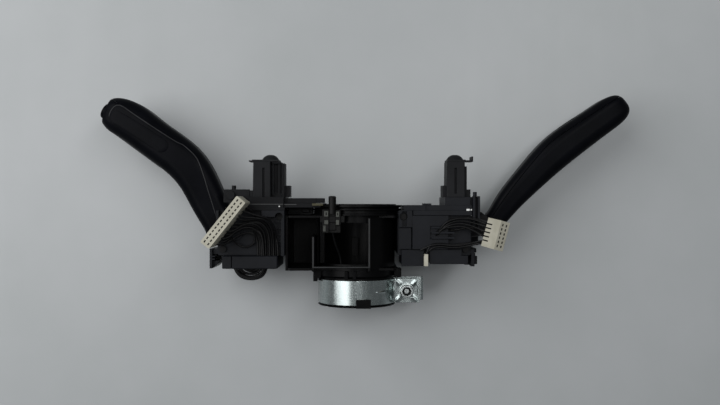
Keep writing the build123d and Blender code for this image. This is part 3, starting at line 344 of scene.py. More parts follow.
left_more = [
    [
        (-0.08174, 0.03402, 0.0274), (-0.07905, 0.0329, 0.0262), (-0.0722, 0.0392, 0.0236),
        (-0.0652, 0.0409, 0.0222), (-0.0598, 0.0372, 0.0206), (-0.0581, 0.0300, 0.0196),
        (-0.0582, 0.0228, 0.0195),
    ],
    [
        (-0.07832, 0.03832, 0.0286), (-0.07563, 0.03721, 0.0274), (-0.0690, 0.0425, 0.0250),
        (-0.0620, 0.0428, 0.0232), (-0.0568, 0.0382, 0.0212), (-0.0556, 0.0300, 0.0196),
        (-0.0558, 0.0228, 0.0195),
    ],
    [
        (-0.07458, 0.04302, 0.0252), (-0.07189, 0.0419, 0.0240), (-0.0654, 0.0440, 0.0226),
        (-0.0590, 0.0436, 0.0218), (-0.0545, 0.0390, 0.0206), (-0.0532, 0.0300, 0.0196),
        (-0.0534, 0.0228, 0.0195),
    ],
    [
        (-0.07085, 0.04772, 0.0310), (-0.06816, 0.0466, 0.0298), (-0.0614, 0.0462, 0.0276),
        (-0.0552, 0.0452, 0.0254), (-0.0515, 0.0400, 0.0226), (-0.0508, 0.0300, 0.0196),
        (-0.0510, 0.0228, 0.0195),
    ],
    [
        (-0.06711, 0.05241, 0.0265), (-0.06442, 0.05129, 0.0253), (-0.0616, 0.0470, 0.0232),
        (-0.0586, 0.0430, 0.0208), (-0.0532, 0.0408, 0.0196), (-0.0486, 0.0340, 0.0188),
        (-0.0482, 0.0228, 0.0188),
    ],
    [
        (-0.08486, 0.03011, 0.0264), (-0.08217, 0.02899, 0.0252), (-0.0772, 0.0322, 0.0216),
        (-0.0708, 0.0364, 0.0206), (-0.0642, 0.0372, 0.0192), (-0.0606, 0.0330, 0.0186),
        (-0.0606, 0.0228, 0.0186),
    ],
    [
        (-0.08019, 0.03598, 0.0244), (-0.0775, 0.03486, 0.0232), (-0.0740, 0.0300, 0.0196),
        (-0.0680, 0.0274, 0.0186), (-0.0622, 0.0306, 0.0188), (-0.0626, 0.0376, 0.0202),
        (-0.0600, 0.0386, 0.0216), (-0.0570, 0.0330, 0.0212), (-0.0570, 0.0228, 0.0208),
    ],
]
more_wires("left", left_more)
right_more = [
    [
        (0.07971, 0.04065, 0.02856), (0.07801, 0.04111, 0.02565), (0.0704, 0.0434, 0.0240),
        (0.0625, 0.0446, 0.0232), (0.0550, 0.0424, 0.0236), (0.0508, 0.0372, 0.0226),
        (0.0490, 0.0354, 0.0204),
    ],
    [
        (0.07815, 0.03486, 0.02856), (0.07646, 0.03531, 0.02565), (0.0700, 0.0392, 0.0244),
        (0.0640, 0.0412, 0.0236), (0.0560, 0.0404, 0.0238), (0.0528, 0.0390, 0.0228),
        (0.0502, 0.0386, 0.0204),
    ],
    [
        (0.07718, 0.03056, 0.02846), (0.07548, 0.03102, 0.02555), (0.0676, 0.0288, 0.0236),
        (0.0588, 0.0276, 0.0226), (0.0508, 0.0289, 0.0226), (0.0448, 0.0272, 0.0224),
        (0.0429, 0.0236, 0.0206),
    ],
    [
        (0.07752, 0.03193, 0.02846), (0.07583, 0.03239, 0.02555), (0.0678, 0.0301, 0.0243),
        (0.0590, 0.0289, 0.0235), (0.0508, 0.0303, 0.0232), (0.0440, 0.0290, 0.0226),
        (0.0394, 0.0262, 0.0208),
    ],
    [
        (0.07893, 0.03775, 0.02856), (0.07723, 0.03821, 0.02565), (0.0702, 0.0413, 0.0248),
        (0.0632, 0.0430, 0.0243), (0.0556, 0.0415, 0.0246), (0.0518, 0.0384, 0.0230),
        (0.0492, 0.0374, 0.0204),
    ],
    [
        (0.08005, 0.04220, 0.02856), (0.07836, 0.04266, 0.02565), (0.0708, 0.0455, 0.0244),
        (0.0628, 0.0462, 0.0238), (0.0552, 0.0440, 0.0241), (0.0514, 0.0398, 0.0230),
        (0.0498, 0.0366, 0.0204),
    ],
]
more_wires("right", right_more)

# Slack of the column harness: loops of thicker vinyl wire that hang out under the rear of the
# left module and go back into it.
loop_routes = [
    [
        (-0.078, 0.0148, 0.002), (-0.0762, 0.0094, 0.0014), (-0.07, 0.0064, 0.0008),
        (-0.0626, 0.007, 0.0008), (-0.058, 0.0104, 0.0014), (-0.0574, 0.0148, 0.002),
    ],
    [
        (-0.0768, 0.0148, 0.0044), (-0.0750, 0.0102, 0.0040), (-0.0694, 0.0078, 0.0034),
        (-0.0634, 0.0084, 0.0034), (-0.0594, 0.0112, 0.0040), (-0.0590, 0.0148, 0.0044),
    ],
    [
        (-0.0744, 0.0148, 0.0030), (-0.0728, 0.0116, 0.0026), (-0.0684, 0.0098, 0.0022),
        (-0.0642, 0.0104, 0.0022), (-0.0612, 0.0124, 0.0026), (-0.0608, 0.0148, 0.0030),
    ],
    [
        (-0.0756, 0.0148, -0.0006), (-0.0738, 0.0092, -0.0012), (-0.0676, 0.0072, -0.0016),
        (-0.0618, 0.0094, -0.0012), (-0.0596, 0.0120, -0.0008), (-0.0584, 0.0148, -0.0004),
    ],
    [
        (-0.0728, 0.0148, 0.0010), (-0.0716, 0.0130, 0.0008), (-0.0682, 0.0116, 0.0006),
        (-0.0646, 0.0118, 0.0006), (-0.0626, 0.0132, 0.0010), (-0.0620, 0.0148, 0.0014),
    ],
    [
        (-0.0712, 0.0148, 0.0024), (-0.0700, 0.0136, 0.0022), (-0.0672, 0.0128, 0.0020),
        (-0.0648, 0.0136, 0.0022), (-0.0638, 0.0148, 0.0026),
    ],
]
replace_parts(wire("harness_loop_wire", loop_routes[0], LOOP_DIAMETER), "harness_loop")
for number, route in enumerate(loop_routes[1:], 1):
    wire("harness_slack_wire_%d" % number, route, LOOP_DIAMETER)

# Moulded cases, covers and brackets of the two switch modules: glass-filled nylon, near black,
# with a fine spark-eroded grain and edges left slightly round by the mould.
PATCHES_PER_M = 55.0
SPECKS_PER_M = 3800.0
SPECK_HEIGHT = 0.0001


def moulded(name, dark, light, roughness, edge, gloss=0.25):
    """Moulded plastic: two close tones in broad patches, a fine grain and softened edges."""
    made = Finish(name)
    patches = made.band(made.grain(PATCHES_PER_M, 3.0), 0.35, 0.65)
    specks = made.grain(SPECKS_PER_M, 2.0)
    made.surface(
        Base_Color=made.between(patches, rgb(*dark), rgb(*light)),
        Roughness=roughness + 0.12 * made.grain(300.0) - 0.06,
        Normal=made.bump(specks, 0.22, SPECK_HEIGHT, made.soft_edges(edge)),
        Specular_IOR_Level=gloss,
    )
    return made.material


def refinish(finish, *nodes):
    """Gives CAD nodes this finish in place of the plain one they come with."""
    for node in nodes:
        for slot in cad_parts[node].material_slots:
            slot.material = finish


case_black = moulded("case_black", (14, 16, 20), (20, 22, 27), 0.46, 0.0003, 0.14)
refinish(
    case_black,
    "left_case", "left_cover", "left_lower_block", "left_latch",
    "right_case", "right_cover", "right_lower_block", "right_latch",
    "right_front_plate", "right_plug_block",
)
inner_black = moulded("inner_black", (10, 11, 13), (14, 15, 18), 0.46, 0.0003, 0.12)
refinish(
    inner_black,
    "left_rocker", "left_detent_track", "left_arm", "left_detent_plunger", "left_front_plate",
    "right_rocker", "right_detent_track", "right_arm", "right_detent_plunger",
)

# Small shapes moulded on the left module: a lip along its front plate with an indicator pin, the
# end of its guide rail with a brass contact strip, the web that joins it to the carrier, and a
# foot beside its lower block. The lip is painted a light grey, a painted highlight along its edges.
MM = 0.001
EASE_SHARE = 0.4


def blocks(name, boxes, finish, ease=0.25):
    """One piece of several moulded blocks on the carrier, each given in millimetres as its low and
    high x, y, z. A block is a stack of four eight-cornered rings: centre plus half the size, drawn
    in by the ease at the corners and at both ends."""
    box = np.array(boxes, float).reshape(-1, 3, 2)
    centre = box.mean(axis=2)
    half = (box[:, :, 1] - box[:, :, 0]) / 2
    cut = np.minimum(ease, EASE_SHARE * half.min(axis=1))
    # Each corner's signs, and 1 where it lies on a face square to x, 0 on one square to y.
    side_x = np.array([1, 1, 1, -1, -1, -1, -1, 1])
    side_y = np.array([-1, 1, 1, 1, 1, -1, -1, -1])
    on_x_face = np.array([1, 1, 0, 0, 1, 1, 0, 0])
    rings = []
    for level, inset in ((-1, 1), (-1, 0), (1, 0), (1, 1)):
        reach = half - cut[:, None] * inset
        x = side_x * (reach[:, :1] - cut[:, None] * (1 - on_x_face))
        y = side_y * (reach[:, 1:2] - cut[:, None] * on_x_face)
        height = level * (half[:, 2] - cut * (1 - inset))
        rings.append(np.stack([x, y, np.broadcast_to(height[:, None], x.shape)], -1))
    points = (np.stack(rings, 1) + centre[:, None, None]) * MM
    corners = len(side_x)
    around = np.arange(corners)
    levels = np.arange(len(rings) - 1)
    level, corner, which = np.meshgrid(levels, around, np.arange(len(box)), indexing="ij")
    below = (which * len(rings) + level) * corners
    above = below + corners
    beside = (corner + 1) % corners
    sides = np.stack([below + corner, below + beside, above + beside, above + corner], -1)
    first = len(rings) * corners * np.arange(len(box))[:, None]
    last = first + len(levels) * corners
    lids = np.concatenate([first + around[::-1], last + around])
    mesh = bpy.data.meshes.new(name)
    faces = sides.reshape(-1, 4).tolist() + lids.tolist()
    mesh.from_pydata(points.reshape(-1, 3).tolist(), [], faces)
    made = put(name, mesh, finish, smooth=False)
    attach(made, "carrier")
    return made


blocks("left_plate_end", [
    (-43.6, -27.8, 47.6, 52.3, -6.0, 2.0), (-25.2, -19.8, 55.2, 58.2, 8.0, 14.8),
    (-44.0, -36.0, 48.2, 49.4, 2.0, 5.0), (-34.5, -30.0, 49.0, 51.6, 2.0, 4.0),
], inner_black)
blocks("left_case_foot", [(-90.6, -86.6, 18.0, 22.0, -14.0, 0.0)], case_black)
# Light grey of the front plate's lip: a painted highlight on black plastic.
edge_highlight_grey = moulded("edge_highlight_grey", (40, 41, 42), (62, 63, 63), 0.42, 0.0002, 0.4)
blocks("left_plate_lip_highlight", [
    (-67.8, -45.0, 54.1, 54.7, 20.4, 21.0), (-44.6, -36.8, 53.9, 54.5, 18.9, 19.5),
    (-44.9, -44.3, 23.4, 44.0, 15.9, 16.5),
], edge_highlight_grey)
brass = moulded("brass_strip", (44, 42, 20), (64, 60, 32), 0.4, 0.0002, 0.4)
blocks("left_brass_strip", [
    (-27.2, -22.6, 53.5, 55.0, 18.95, 21.0), (-27.2, -20.4, 53.5, 55.0, 20.7, 21.3),
], brass)
pin_white = moulded("pin_white", (206, 208, 206), (228, 230, 228), 0.3, 0.0002, 0.5)
blocks("left_indicator_pin", [(-47.7, -46.9, 52.7, 53.5, 20.4, 21.0)], pin_white)

# Small shapes on the right module: two dots of white paint on its front plate, and a moulded foot
# below the mouth of the stalk.
blocks("right_paint_dots", [
    (67.6, 69.6, 50.4, 51.6, 20.15, 20.4), (70.1, 71.0, 50.6, 51.4, 20.15, 20.4),
], pin_white)
blocks("right_case_foot", [(70.9, 80.6, 27.2, 37.6, -29.0, -18.0)], case_black)

# Carrier, collar and rings round the column: the same nylon in a glossier tool finish, which
# reads darker and shows the ring's steps as fine light lines. The lock pocket is closed by a rear
# wall, and the tops of its three walls are painted a lighter grey, a painted highlight on them.
barrel_black = moulded("barrel_black", (5, 5, 6), (8, 8, 9), 0.34, 0.0004, 0.08)
refinish(barrel_black, "carrier_frame", "front_ring", "cancel_ring", "clamp_collar")
blocks("carrier_rear_wall", [(-25.6, 7.2, 15.6, 16.6, 18.0, 26.0)], barrel_black)
# Lighter grey caps on the tops of the pocket walls: a painted highlight.
wall_top_highlight_grey = moulded("wall_top_highlight_grey", (27, 28, 29), (42, 43, 44), 0.42, 0.0002, 0.3)
blocks("carrier_wall_top_highlights", [
    (-26.7, -25.8, 15.7, 34.6, 25.8, 26.15), (7.4, 8.3, 15.7, 45.8, 25.8, 26.15),
    (-25.8, 7.4, 15.7, 16.5, 25.8, 26.15),
], wall_top_highlight_grey)

# Plug of the lock lamp: it sits on the front edge of the carrier, with a round post that points
# to the wheel, and dull tinned contacts, two of which have a dark slot.
lamp_black = moulded("lamp_plug_black", (8, 8, 8), (13, 13, 13), 0.4, 0.0002, 0.12)
lamp_plug = blocks("lock_lamp_plug_body", [
    (-22.0, -7.0, 43.3, 47.4, 20.05, 28.6), (-19.5, -9.5, 37.1, 43.6, 25.2, 27.6),
    (-20.6, -16.5, 37.1, 51.3, 27.0, 29.6), (-12.5, -9.4, 41.6, 51.0, 27.0, 29.6),
    (-16.7, -12.3, 38.6, 51.0, 26.4, 28.2),
], lamp_black)
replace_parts(lamp_plug, "lock_lamp_plug")
POST_X = -14.5
POST_Z = 28.8
POST_R = 2.3
POST_FOOT_Y = 48.6
POST_TIP_Y = 59.4
POST_CHAMFER = 0.5
POST_SIDES = 32
POST_SHARP = radians(30)


def closed_tube(name, rings):
    """Mesh through a row of closed rings of points, with a flat cap on each end."""
    rows, columns = rings.shape[:2]
    mesh = sheet_mesh(name, rings, closed=True)
    built = bmesh.new()
    built.from_mesh(mesh)
    built.verts.ensure_lookup_table()
    built.faces.new([built.verts[k] for k in range(columns)])
    built.faces.new([built.verts[(rows - 1) * columns + k] for k in reversed(range(columns))])
    bmesh.ops.recalc_face_normals(built, faces=built.faces)
    built.to_mesh(mesh)
    built.free()
    return mesh


def post_mesh(name):
    """Round post along y: circles at levels along it, with a small chamfer at the free end."""
    level = np.array([POST_FOOT_Y, POST_TIP_Y - POST_CHAMFER, POST_TIP_Y])
    radius = np.array([POST_R, POST_R, POST_R - POST_CHAMFER])
    angle = np.linspace(0, 2 * pi, POST_SIDES, endpoint=False)
    x = POST_X + radius[:, None] * np.cos(angle)
    z = POST_Z + radius[:, None] * np.sin(angle)
    return closed_tube(name, np.stack([x, np.broadcast_to(level[:, None], x.shape), z], -1) * MM)


post = put("lock_lamp_post", post_mesh("lock_lamp_post"), lamp_black)
post.data.set_sharp_from_angle(angle=POST_SHARP)
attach(post, "carrier")
contact_grey = moulded("contact_grey", (50, 52, 48), (74, 76, 71), 0.35, 0.0002, 0.3)
blocks("lock_lamp_contacts", [
    (-19.4, -16.9, 47.0, 50.4, 29.2, 29.9), (-12.2, -10.3, 46.8, 50.0, 29.2, 29.9),
    (-19.3, -16.9, 42.3, 44.9, 29.2, 29.9), (-12.3, -10.4, 42.0, 45.0, 29.2, 29.9),
    (-20.0, -18.4, 38.0, 41.6, 29.2, 29.8),
], contact_grey)
blocks("lock_lamp_windows", [
    (-18.6, -17.7, 47.8, 49.6, 29.5, 29.95), (-11.6, -10.9, 47.6, 49.3, 29.5, 29.95),
], lamp_black)

# Trim towers and their caps: posts that carry the column shroud, of a greyer, matt grade of the
# same nylon. The left one has guide ribs down its face and a web under its cap.
tower_black = moulded("tower_black", (20, 21, 23), (25, 26, 28), 0.55, 0.0003, 0.12)
refinish(tower_black, "left_tower", "left_tower_cap", "right_tower", "right_tower_cap")
blocks("left_tower_fill", [
    (-52.4, -46.6, 79.4, 80.7, 5.0, 18.0), (-51.6, -51.1, 60.0, 79.3, 17.6, 18.6),
    (-48.0, -47.5, 60.0, 79.3, 17.6, 18.6), (-45.9, -45.4, 60.0, 79.3, 17.6, 18.6),
], tower_black)

# Contact boards: brown phenolic laminate with a fine fibre pattern, held deep in each module
# where the rocker's contacts slide on it.
laminate = Finish("board_resin")
laminate.surface(
    Base_Color=laminate.between(laminate.grain(400.0), rgb(78, 70, 34), rgb(104, 94, 48)),
    Roughness=0.5 + 0.1 * laminate.grain(900.0),
    Normal=laminate.bump(laminate.grain(1500.0), 0.1, 0.0001),
)
refinish(laminate.material, "left_contact_board", "right_contact_board")

# Harness plugs and terminal insert: natural nylon, cream, with softly rounded edges and a little
# dirt in the grain.
cream = Finish("cream_nylon_moulded")
dirt = cream.band(cream.grain(120.0), 0.35, 0.65)
cream_tone = cream.between(dirt, rgb(166, 163, 148), rgb(180, 177, 163))
cream.surface(
    Base_Color=cream_tone,
    Roughness=0.46 + 0.1 * cream.grain(500.0),
    Normal=cream.bump(cream.grain(3000.0), 0.12, 0.0001, cream.soft_edges(0.00018)),
    Specular_IOR_Level=0.3,
)
refinish(cream.material, "left_plug", "right_plug", "right_terminal_insert")
PLUG_PITCH = 2.54
WAY_HALF_LONG = 0.72
WAY_HALF_WIDE = 0.42
WAY_TOP = -0.12
WAY_BOTTOM = -2.4
RIB_HALF_LONG = 0.3
RIB_HALF_WIDE = 0.22
RIB_TOP_SHARE = 0.12
RIB_BOTTOM_SHARE = 0.85
GAP_HALF_LONG = 0.37
GAP_HALF_WIDE = 0.95
GAP_INSET = 1.05
GAP_BOTTOM = 0.03
GAP_TOP = 4.6


def block_round(x, y, half_long, half_wide, bottom, top):
    """Low and high x, y, z of a block round its middle in plan."""
    return (x - half_long, x + half_long, y - half_wide, y + half_wide, bottom, top)


def plug_details(side, origin, along, normal, ways, rows_apart, half_wide, deep, fingers):
    """Dark blocks of painted shade that fill the terminal cavities in a plug's face, and ribs down its
    long sides or dark blocks of painted shade in the gaps between its fingers. They are laid out
    square in millimetres, at the plug's pitch, then their mesh is turned so that x runs along the
    plug and z out of its face."""
    x_axis = Vector(along).normalized()
    z_axis = Vector(normal).normalized()
    y_axis = z_axis.cross(x_axis)
    turned = Matrix((x_axis, y_axis, z_axis)).transposed().to_4x4()
    turned.translation = Vector(origin) * MM
    at = PLUG_PITCH * (np.arange(ways) - (ways - 1) / 2)
    between_ways = at[:-1] + PLUG_PITCH / 2
    # Dark blocks that fill the terminal holes to just under the face: painted shade.
    cavity_shade = [
        block_round(x, y, WAY_HALF_LONG, WAY_HALF_WIDE, WAY_BOTTOM, WAY_TOP)
        for x in at for y in (-rows_apart / 2, rows_apart / 2)
    ]
    rib_bottom, rib_top = -RIB_BOTTOM_SHARE * deep, -RIB_TOP_SHARE * deep
    ribs = [
        block_round(x, y, RIB_HALF_LONG, RIB_HALF_WIDE, rib_bottom, rib_top)
        for x in between_ways for y in (-half_wide, half_wide)
    ]
    gap_y = half_wide - GAP_INSET
    gap_bottom, gap_top = GAP_BOTTOM - deep, GAP_TOP - deep
    # Dark blocks between the fingers: painted shade in the gaps.
    gap_shade = [
        block_round(x, gap_y, GAP_HALF_LONG, GAP_HALF_WIDE, gap_bottom, gap_top)
        for x in between_ways
    ]
    side_detail = ("finger_gap_shade", gap_shade, inner_black) if fingers else ("ribs", ribs, cream.material)
    for name, boxes, finish in (("cavity_shade", cavity_shade, inner_black), side_detail):
        made = blocks("%s_plug_%s" % (side, name), boxes, finish, ease=0.08)
        made.data.transform(turned)


LEFT_PLUG_TILT = radians(51.5)
left_along = (cos(LEFT_PLUG_TILT), sin(LEFT_PLUG_TILT), 0)
plug_details(
    "left", origin=(-78.1, 43.9, 43.0), along=left_along, normal=(0, 0, 1),
    ways=13, rows_apart=2.7, half_wide=3.3, deep=20.5, fingers=False,
)
plug_details(
    "right", origin=(86.2, 35.6, 38.0), along=(0.259, 0.966, 0), normal=(0.5, -0.134, 0.856),
    ways=6, rows_apart=2.9, half_wide=3.5, deep=12.0, fingers=True,
)

# Small steel parts: lid screws with a black phosphate coat, and the nut, pins and springs, which
# are zinc-plated with a spangle and faint rolling streaks.
phosphate = moulded("phosphate_steel", (9, 9, 10), (14, 14, 15), 0.5, 0.0002, 0.15)
refinish(phosphate, "lid_screw_set")
zinc = Finish("zinc_plate")
spangle = zinc.band(zinc.grain(1500.0, 5.0), 0.35, 0.65)
streak = zinc.band(zinc.grain(260.0, 5.0, (1.0, 0.18, 1.0)), 0.3, 0.7)
zinc.surface(
    Base_Color=zinc.between(spangle * 0.5 + streak * 0.5, rgb(146, 155, 156), rgb(184, 192, 190)),
    Metallic=1.0,
    Roughness=0.17 + 0.08 * spangle + 0.08 * streak,
    Normal=zinc.bump(zinc.grain(300.0, 3.0), 0.035, 0.0003, zinc.soft_edges(0.0003)),
)
refinish(
    zinc.material,
    "clamp_nut", "left_pivot_pin", "right_pivot_pin", "left_detent_spring", "right_detent_spring",
)

# Clamp screw: zinc plate like the rest, with painted shade that darkens the wall of its hexagon
# socket, while the middle of the bottom keeps the bare zinc.
SCREW_AT = 31.4 * MM
SOCKET_SHADE_FROM = 1.5 * MM
SOCKET_SHADE_TO = 2.75 * MM
socket = Finish("zinc_screw")
spot = socket.place()
axis_x = socket.node("ShaderNodeSeparateXYZ", {}, {"Vector": spot}, "X") - SCREW_AT
axis_y = socket.node("ShaderNodeSeparateXYZ", {}, {"Vector": spot}, "Y")
from_axis = (axis_x * axis_x + axis_y * axis_y) ** 0.5
# A ring round the screw's axis is darkened: painted shade on the socket's walls.
socket_wall_shade = from_axis.above(SOCKET_SHADE_FROM) * (1.0 - from_axis.above(SOCKET_SHADE_TO))
socket.surface(
    Base_Color=socket.between(socket_wall_shade, rgb(192, 198, 197), rgb(34, 36, 36)),
    Metallic=1.0,
    Roughness=0.24 + 0.3 * socket_wall_shade,
    Normal=socket.bump(socket.grain(900.0), 0.06, 0.0002, socket.soft_edges(0.0003)),
)
refinish(socket.material, "clamp_screw")

# Clamp strap: one strip of 1.2 mm zinc-plated steel, bent round the collar, with two ears drawn
# together by the screw. Pressed ribs run from the screw to the corners of the upper ear, and a
# short slanting lance is pressed out of the round part.
STRAP_R = 23.65 * MM
STRAP_HALF_WIDTH = 7.5 * MM
STRAP_HALF_THICK = 0.6 * MM
EAR_HEIGHT = 7.25 * MM
EAR_BEND = 2.5 * MM
UPPER_EAR_TIP = 39.1 * MM
LOWER_EAR_TIP = 42.7 * MM
LIP_BEND = 1.0 * MM
LIP_TOP = 10.4 * MM
EARS_START = 25.0 * MM
PRESSED_FROM = 4.6 * MM
PRESSED_TO = 10.0 * MM
PRESSED_RISE = 0.75 * MM
PRESSED_WIDTH = 0.95 * MM
LANCE_TURN = radians(51.0)
LANCE_HALF_LONG = 4.2 * MM
LANCE_SHIFT = 0.2 * MM
LANCE_SLOPE = 0.06
LANCE_RISE = 0.55 * MM
LANCE_WIDTH = 0.5 * MM
ROUND_POINTS = 110
BEND_POINTS = 9
EAR_POINTS = 34
LIP_POINTS = 7
ACROSS_POINTS = 41
STRAP_SHARP = radians(40)


def arc(centre_x, centre_z, radius, start, end, count):
    """Points on an arc: centre plus radius times (cosine, sine) of evenly spread angles."""
    angle = np.linspace(start, end, count)
    return np.stack([centre_x + radius * np.cos(angle), centre_z + radius * np.sin(angle)], 1)


def half_strap(ear_tip):
    """Mid line from the far side of the column to one lip: circle, bend, straight ear, lip."""
    bend_x = sqrt((STRAP_R + EAR_BEND) ** 2 - (EAR_HEIGHT + EAR_BEND) ** 2)
    joint = atan2(EAR_HEIGHT + EAR_BEND, bend_x)
    lip_x = ear_tip - LIP_BEND
    ear = np.linspace(bend_x, lip_x, EAR_POINTS)[1:-1]
    return np.concatenate([
        arc(0, 0, STRAP_R, pi, joint, ROUND_POINTS),
        arc(bend_x, EAR_HEIGHT + EAR_BEND, EAR_BEND, joint + pi, 1.5 * pi, BEND_POINTS)[1:],
        np.stack([ear, np.full(len(ear), EAR_HEIGHT)], 1),
        arc(lip_x, EAR_HEIGHT + LIP_BEND, LIP_BEND, -pi / 2, 0, LIP_POINTS),
        np.array([[ear_tip, 0.5 * (EAR_HEIGHT + LIP_BEND + LIP_TOP)], [ear_tip, LIP_TOP]]),
    ])


def unit(vectors):
    """Each vector divided by its length."""
    return vectors / np.linalg.norm(vectors, axis=1, keepdims=True)


def bell(distance, width):
    """1 on a line and falling off to both sides of it, as exp(-(distance / width) squared)."""
    return np.exp(-((distance / width) ** 2))


def strap_mesh():
    """The strip's mid line is a circle that runs by a bend into a straight ear and its turned-up
    lip on both sides of the split. Each point is pushed out along the line's normal by half the
    thickness and by the height of the pressed ribs and of a lance, a bell curve across each."""
    upper = half_strap(UPPER_EAR_TIP)
    lower = half_strap(LOWER_EAR_TIP)[:0:-1] * (1, -1)
    line = np.concatenate([lower, upper])
    along = unit(np.gradient(line, axis=0))
    outward = np.stack([-along[:, 1], along[:, 0]], 1)
    x = line[:, :1]
    z = line[:, 1:]
    y = np.linspace(-STRAP_HALF_WIDTH, STRAP_HALF_WIDTH, ACROSS_POINTS)[None, :]
    from_screw = np.hypot(x - SCREW_AT, y)
    off_rib = (np.abs(x - SCREW_AT) - np.abs(y)) / sqrt(2)
    past_start = np.clip((from_screw - PRESSED_FROM) / MM, 0, 1)
    before_end = np.clip((PRESSED_TO - from_screw) / MM, 0, 1)
    on_ear = (z > 0) & (x > EARS_START) & (x < UPPER_EAR_TIP - LIP_BEND)
    ribs = PRESSED_RISE * bell(off_rib, PRESSED_WIDTH) * (past_start * before_end) * on_ear
    turn = STRAP_R * (np.arctan2(z, x) - LANCE_TURN)
    lance_y = y - LANCE_SHIFT + LANCE_SLOPE * turn
    lance_end = np.clip((LANCE_HALF_LONG - np.abs(turn)) / MM, 0, 1)
    lance = LANCE_RISE * bell(lance_y, LANCE_WIDTH) * lance_end
    on_circle = np.hypot(x, z) < STRAP_R * 1.02
    rise = ribs + lance * on_circle
    faces = []
    for offset, order in ((STRAP_HALF_THICK, slice(None)), (-STRAP_HALF_THICK, slice(None, None, -1))):
        push = (rise + offset)[:, order]
        faces.append(np.stack([
            x + outward[:, :1] * push,
            np.broadcast_to(y[:, order], push.shape),
            z + outward[:, 1:] * push,
        ], -1))
    return closed_tube("clamp_strap", np.concatenate(faces, 1))


strap = put("clamp_strap", strap_mesh(), zinc.material)
strap.data.set_sharp_from_angle(angle=STRAP_SHARP)
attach(strap, "carrier")
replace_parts(strap, "clamp_band")

# Stalks: two moulded shells of soft black plastic on each, split along a parting line. A thin lip
# stands out of the split, painted a lighter grey than the shells as a painted highlight along it.
stalk_black = moulded("stalk_black", (8, 9, 12), (11, 12, 16), 0.36, 0.0004, 0.035)
refinish(
    stalk_black,
    "left_rear_shell", "left_front_shell", "left_end_button",
    "right_rear_shell", "right_front_shell", "right_interval_slider",
)
rubber_black = moulded("rubber_black", (8, 8, 9), (12, 12, 13), 0.62, 0.0004)
refinish(rubber_black, "right_root_boot")
LEFT_STATIONS = np.array([
    (-86.0, 38.0, 20.5, 17.0), (-91.4, 51.0, 22.0, 19.0), (-100.0, 68.0, 23.3, 21.5),
    (-108.6, 80.2, 24.5, 23.5), (-119.8, 89.6, 24.6, 24.5), (-137.0, 102.4, 24.6, 24.5),
    (-148.0, 109.4, 24.0, 23.5), (-154.0, 111.8, 21.6, 21.5), (-158.2, 113.4, 16.8, 17.6),
]) * MM
LEFT_PARTING = np.array([
    (-87.0, 42.0), (-89.9, 52.6), (-92.9, 62.5), (-96.2, 73.5), (-100.4, 83.5),
    (-108.0, 91.0), (-113.0, 93.6), (-124.6, 101.0), (-137.2, 109.4), (-147.0, 115.9),
    (-151.4, 115.6), (-154.2, 112.2), (-155.2, 108.4),
]) * MM
CORNER_SHARE = 0.34
CENTRE_STEPS = 40
PARTING_STEPS = 14
LIP_R = 0.36 * MM
LIP_SUNK = 0.14 * MM
LIP_SIDES = 8
LIP_TAPER = 25
LIP_END = 0.25
# Grey of the parting lip: a painted highlight on the black stalk.
parting_lip_highlight_grey = moulded("parting_lip_highlight_grey", (22, 23, 25), (34, 35, 37), 0.45, 0.0002, 0.3)


def smooth_line(points, per_span):
    """Catmull-Rom curve: each span blends its end points and their neighbours by cubics."""
    ends = np.concatenate([[2 * points[0] - points[1]], points, [2 * points[-1] - points[-2]]])
    t = np.linspace(0, 1, per_span, endpoint=False)[:, None]
    spans = []
    for a, b, c, d in zip(ends, ends[1:], ends[2:], ends[3:]):
        squared = (2 * a - 5 * b + 4 * c - d) * t**2
        cubed = (3 * b - a - 3 * c + d) * t**3
        spans.append(0.5 * (2 * b + (c - a) * t + squared + cubed))
    return np.concatenate(spans + [points[-1:]])


def stalk_top(stations, plan):
    """Height of a stalk's upper surface over points in plan: flat over the middle of the section,
    then the section's corner arc, by the distance from the nearest point of its centre line. A
    station is its x, y, width and height."""
    centre = smooth_line(stations, CENTRE_STEPS)
    nearest = np.argmin(np.linalg.norm(plan[:, None] - centre[None, :, :2], axis=2), axis=1)
    offset = np.linalg.norm(plan - centre[nearest, :2], axis=1)
    width, height = centre[nearest, 2], centre[nearest, 3]
    corner = CORNER_SHARE * np.minimum(width, height)
    beyond = np.clip(offset - (width / 2 - corner), 0, corner * 0.98)
    return height / 2 - corner + np.sqrt(corner**2 - beyond**2)


def bead_mesh(name, line):
    """Round bead: circles of points set square to a line, drawn in to a quarter at both ends."""
    along = unit(np.gradient(line, axis=0))
    side = unit(np.cross(along, (0.0, 0.0, 1.0)))
    up = np.cross(side, along)
    angle = np.linspace(0, 2 * pi, LIP_SIDES, endpoint=False)[None, :, None]
    share = np.linspace(0, 1, len(line))
    swell = np.clip(np.minimum(share, 1 - share) * LIP_TAPER, LIP_END, 1)[:, None, None]
    circle = np.cos(angle) * side[:, None] + np.sin(angle) * up[:, None]
    return closed_tube(name, line[:, None] + LIP_R * swell * circle)


parting_plan = smooth_line(LEFT_PARTING, PARTING_STEPS)
parting_height = stalk_top(LEFT_STATIONS, parting_plan) - LIP_SUNK
parting_line = np.concatenate([parting_plan, parting_height[:, None]], 1)
lip = put("left_parting_lip", bead_mesh("left_parting_lip", parting_line), parting_lip_highlight_grey)
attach(lip, "turn_stalk")

# Light knob at the end of the left stalk: its raised face ends in an arc, and its cheek stands
# out of the stalk's rear side and ends in a small step.
PAD_SPINE = np.array([(-150.5, 108.6), (-140.0, 102.6), (-122.0, 91.2)]) * MM
PAD_HALF_WIDTH = 4.4 * MM
PAD_SUNK = 0.25 * MM
PAD_RISE = 0.3 * MM
PAD_END_POINTS = 17
KNOB_STEPS = 10
KNOB_SHARP = radians(50)


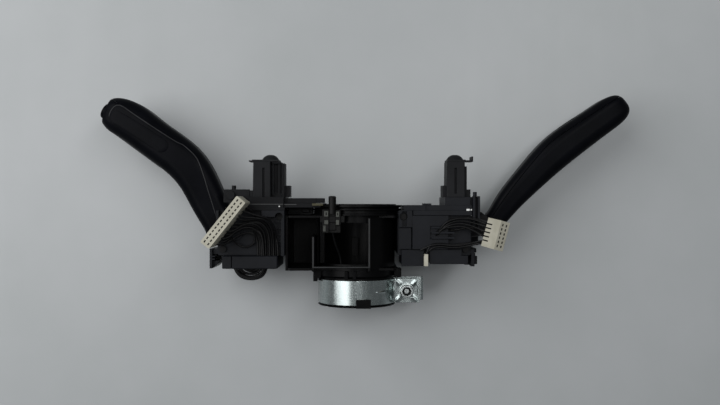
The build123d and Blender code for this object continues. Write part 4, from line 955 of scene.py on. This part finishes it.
def pad_mesh(name):
    """Stadium round a spine in plan: outlines at shrinking distances from the spine, the first
    under the stalk's surface and the others above it, all following the surface's height."""
    angle = np.linspace(0, pi, PAD_END_POINTS)[:, None]
    path = smooth_line(PAD_SPINE, KNOB_STEPS)
    along = unit(np.gradient(path, axis=0))
    left = np.stack([-along[:, 1], along[:, 0]], 1)
    far_end = np.repeat(path[-1:], PAD_END_POINTS, 0)
    near_end = np.repeat(path[:1], PAD_END_POINTS, 0)
    centre = np.concatenate([path, far_end, path[::-1], near_end])
    far_turn = np.cos(angle) * left[-1] + np.sin(angle) * along[-1]
    near_turn = -np.cos(angle) * left[0] - np.sin(angle) * along[0]
    outward = np.concatenate([left, far_turn, -left[::-1], near_turn])
    shares = (1.0, 1.0, 0.93, 0.5, 0.05)
    lifts = (-PAD_SUNK, 0.6 * PAD_RISE, PAD_RISE, PAD_RISE, PAD_RISE)
    rings = []
    for share, lift in zip(shares, lifts):
        plan = centre + outward * PAD_HALF_WIDTH * share
        rings.append(np.concatenate([plan, (stalk_top(LEFT_STATIONS, plan) + lift)[:, None]], 1))
    return closed_tube(name, np.stack(rings))


pad = put("left_knob_face", pad_mesh("left_knob_face"), stalk_black)
CHEEK_LINE = np.array([(-158.6, 107.6), (-148.0, 100.2), (-136.0, 91.4), (-122.6, 81.6)]) * MM
CHEEK_R = 4.8 * MM
CHEEK_TALL = 1.7
CHEEK_SWELL = 8
CHEEK_END = 0.15
CHEEK_SIDES = 40


def cheek_mesh(name):
    """Rounded rib along a line: ellipses square to it, nearly twice as high as they are wide,
    that grow by a square root from the first end."""
    route = smooth_line(CHEEK_LINE, KNOB_STEPS)
    along = unit(np.gradient(route, axis=0))
    side = np.stack([along[:, 1], -along[:, 0]], 1)
    angle = np.linspace(0, 2 * pi, CHEEK_SIDES, endpoint=False)
    share = np.linspace(0, 1, len(route))
    radius = CHEEK_R * np.sqrt(np.clip(share * CHEEK_SWELL + CHEEK_END, 0, 1))[:, None]
    plan = route[:, None] + (radius * np.cos(angle))[..., None] * side[:, None]
    height = radius * CHEEK_TALL * np.sin(angle)
    return closed_tube(name, np.concatenate([plan, height[..., None]], -1))


cheek = put("left_knob_cheek", cheek_mesh("left_knob_cheek"), stalk_black)
for piece in (pad, cheek):
    piece.data.set_sharp_from_angle(angle=KNOB_SHARP)
    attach(piece, "turn_stalk")
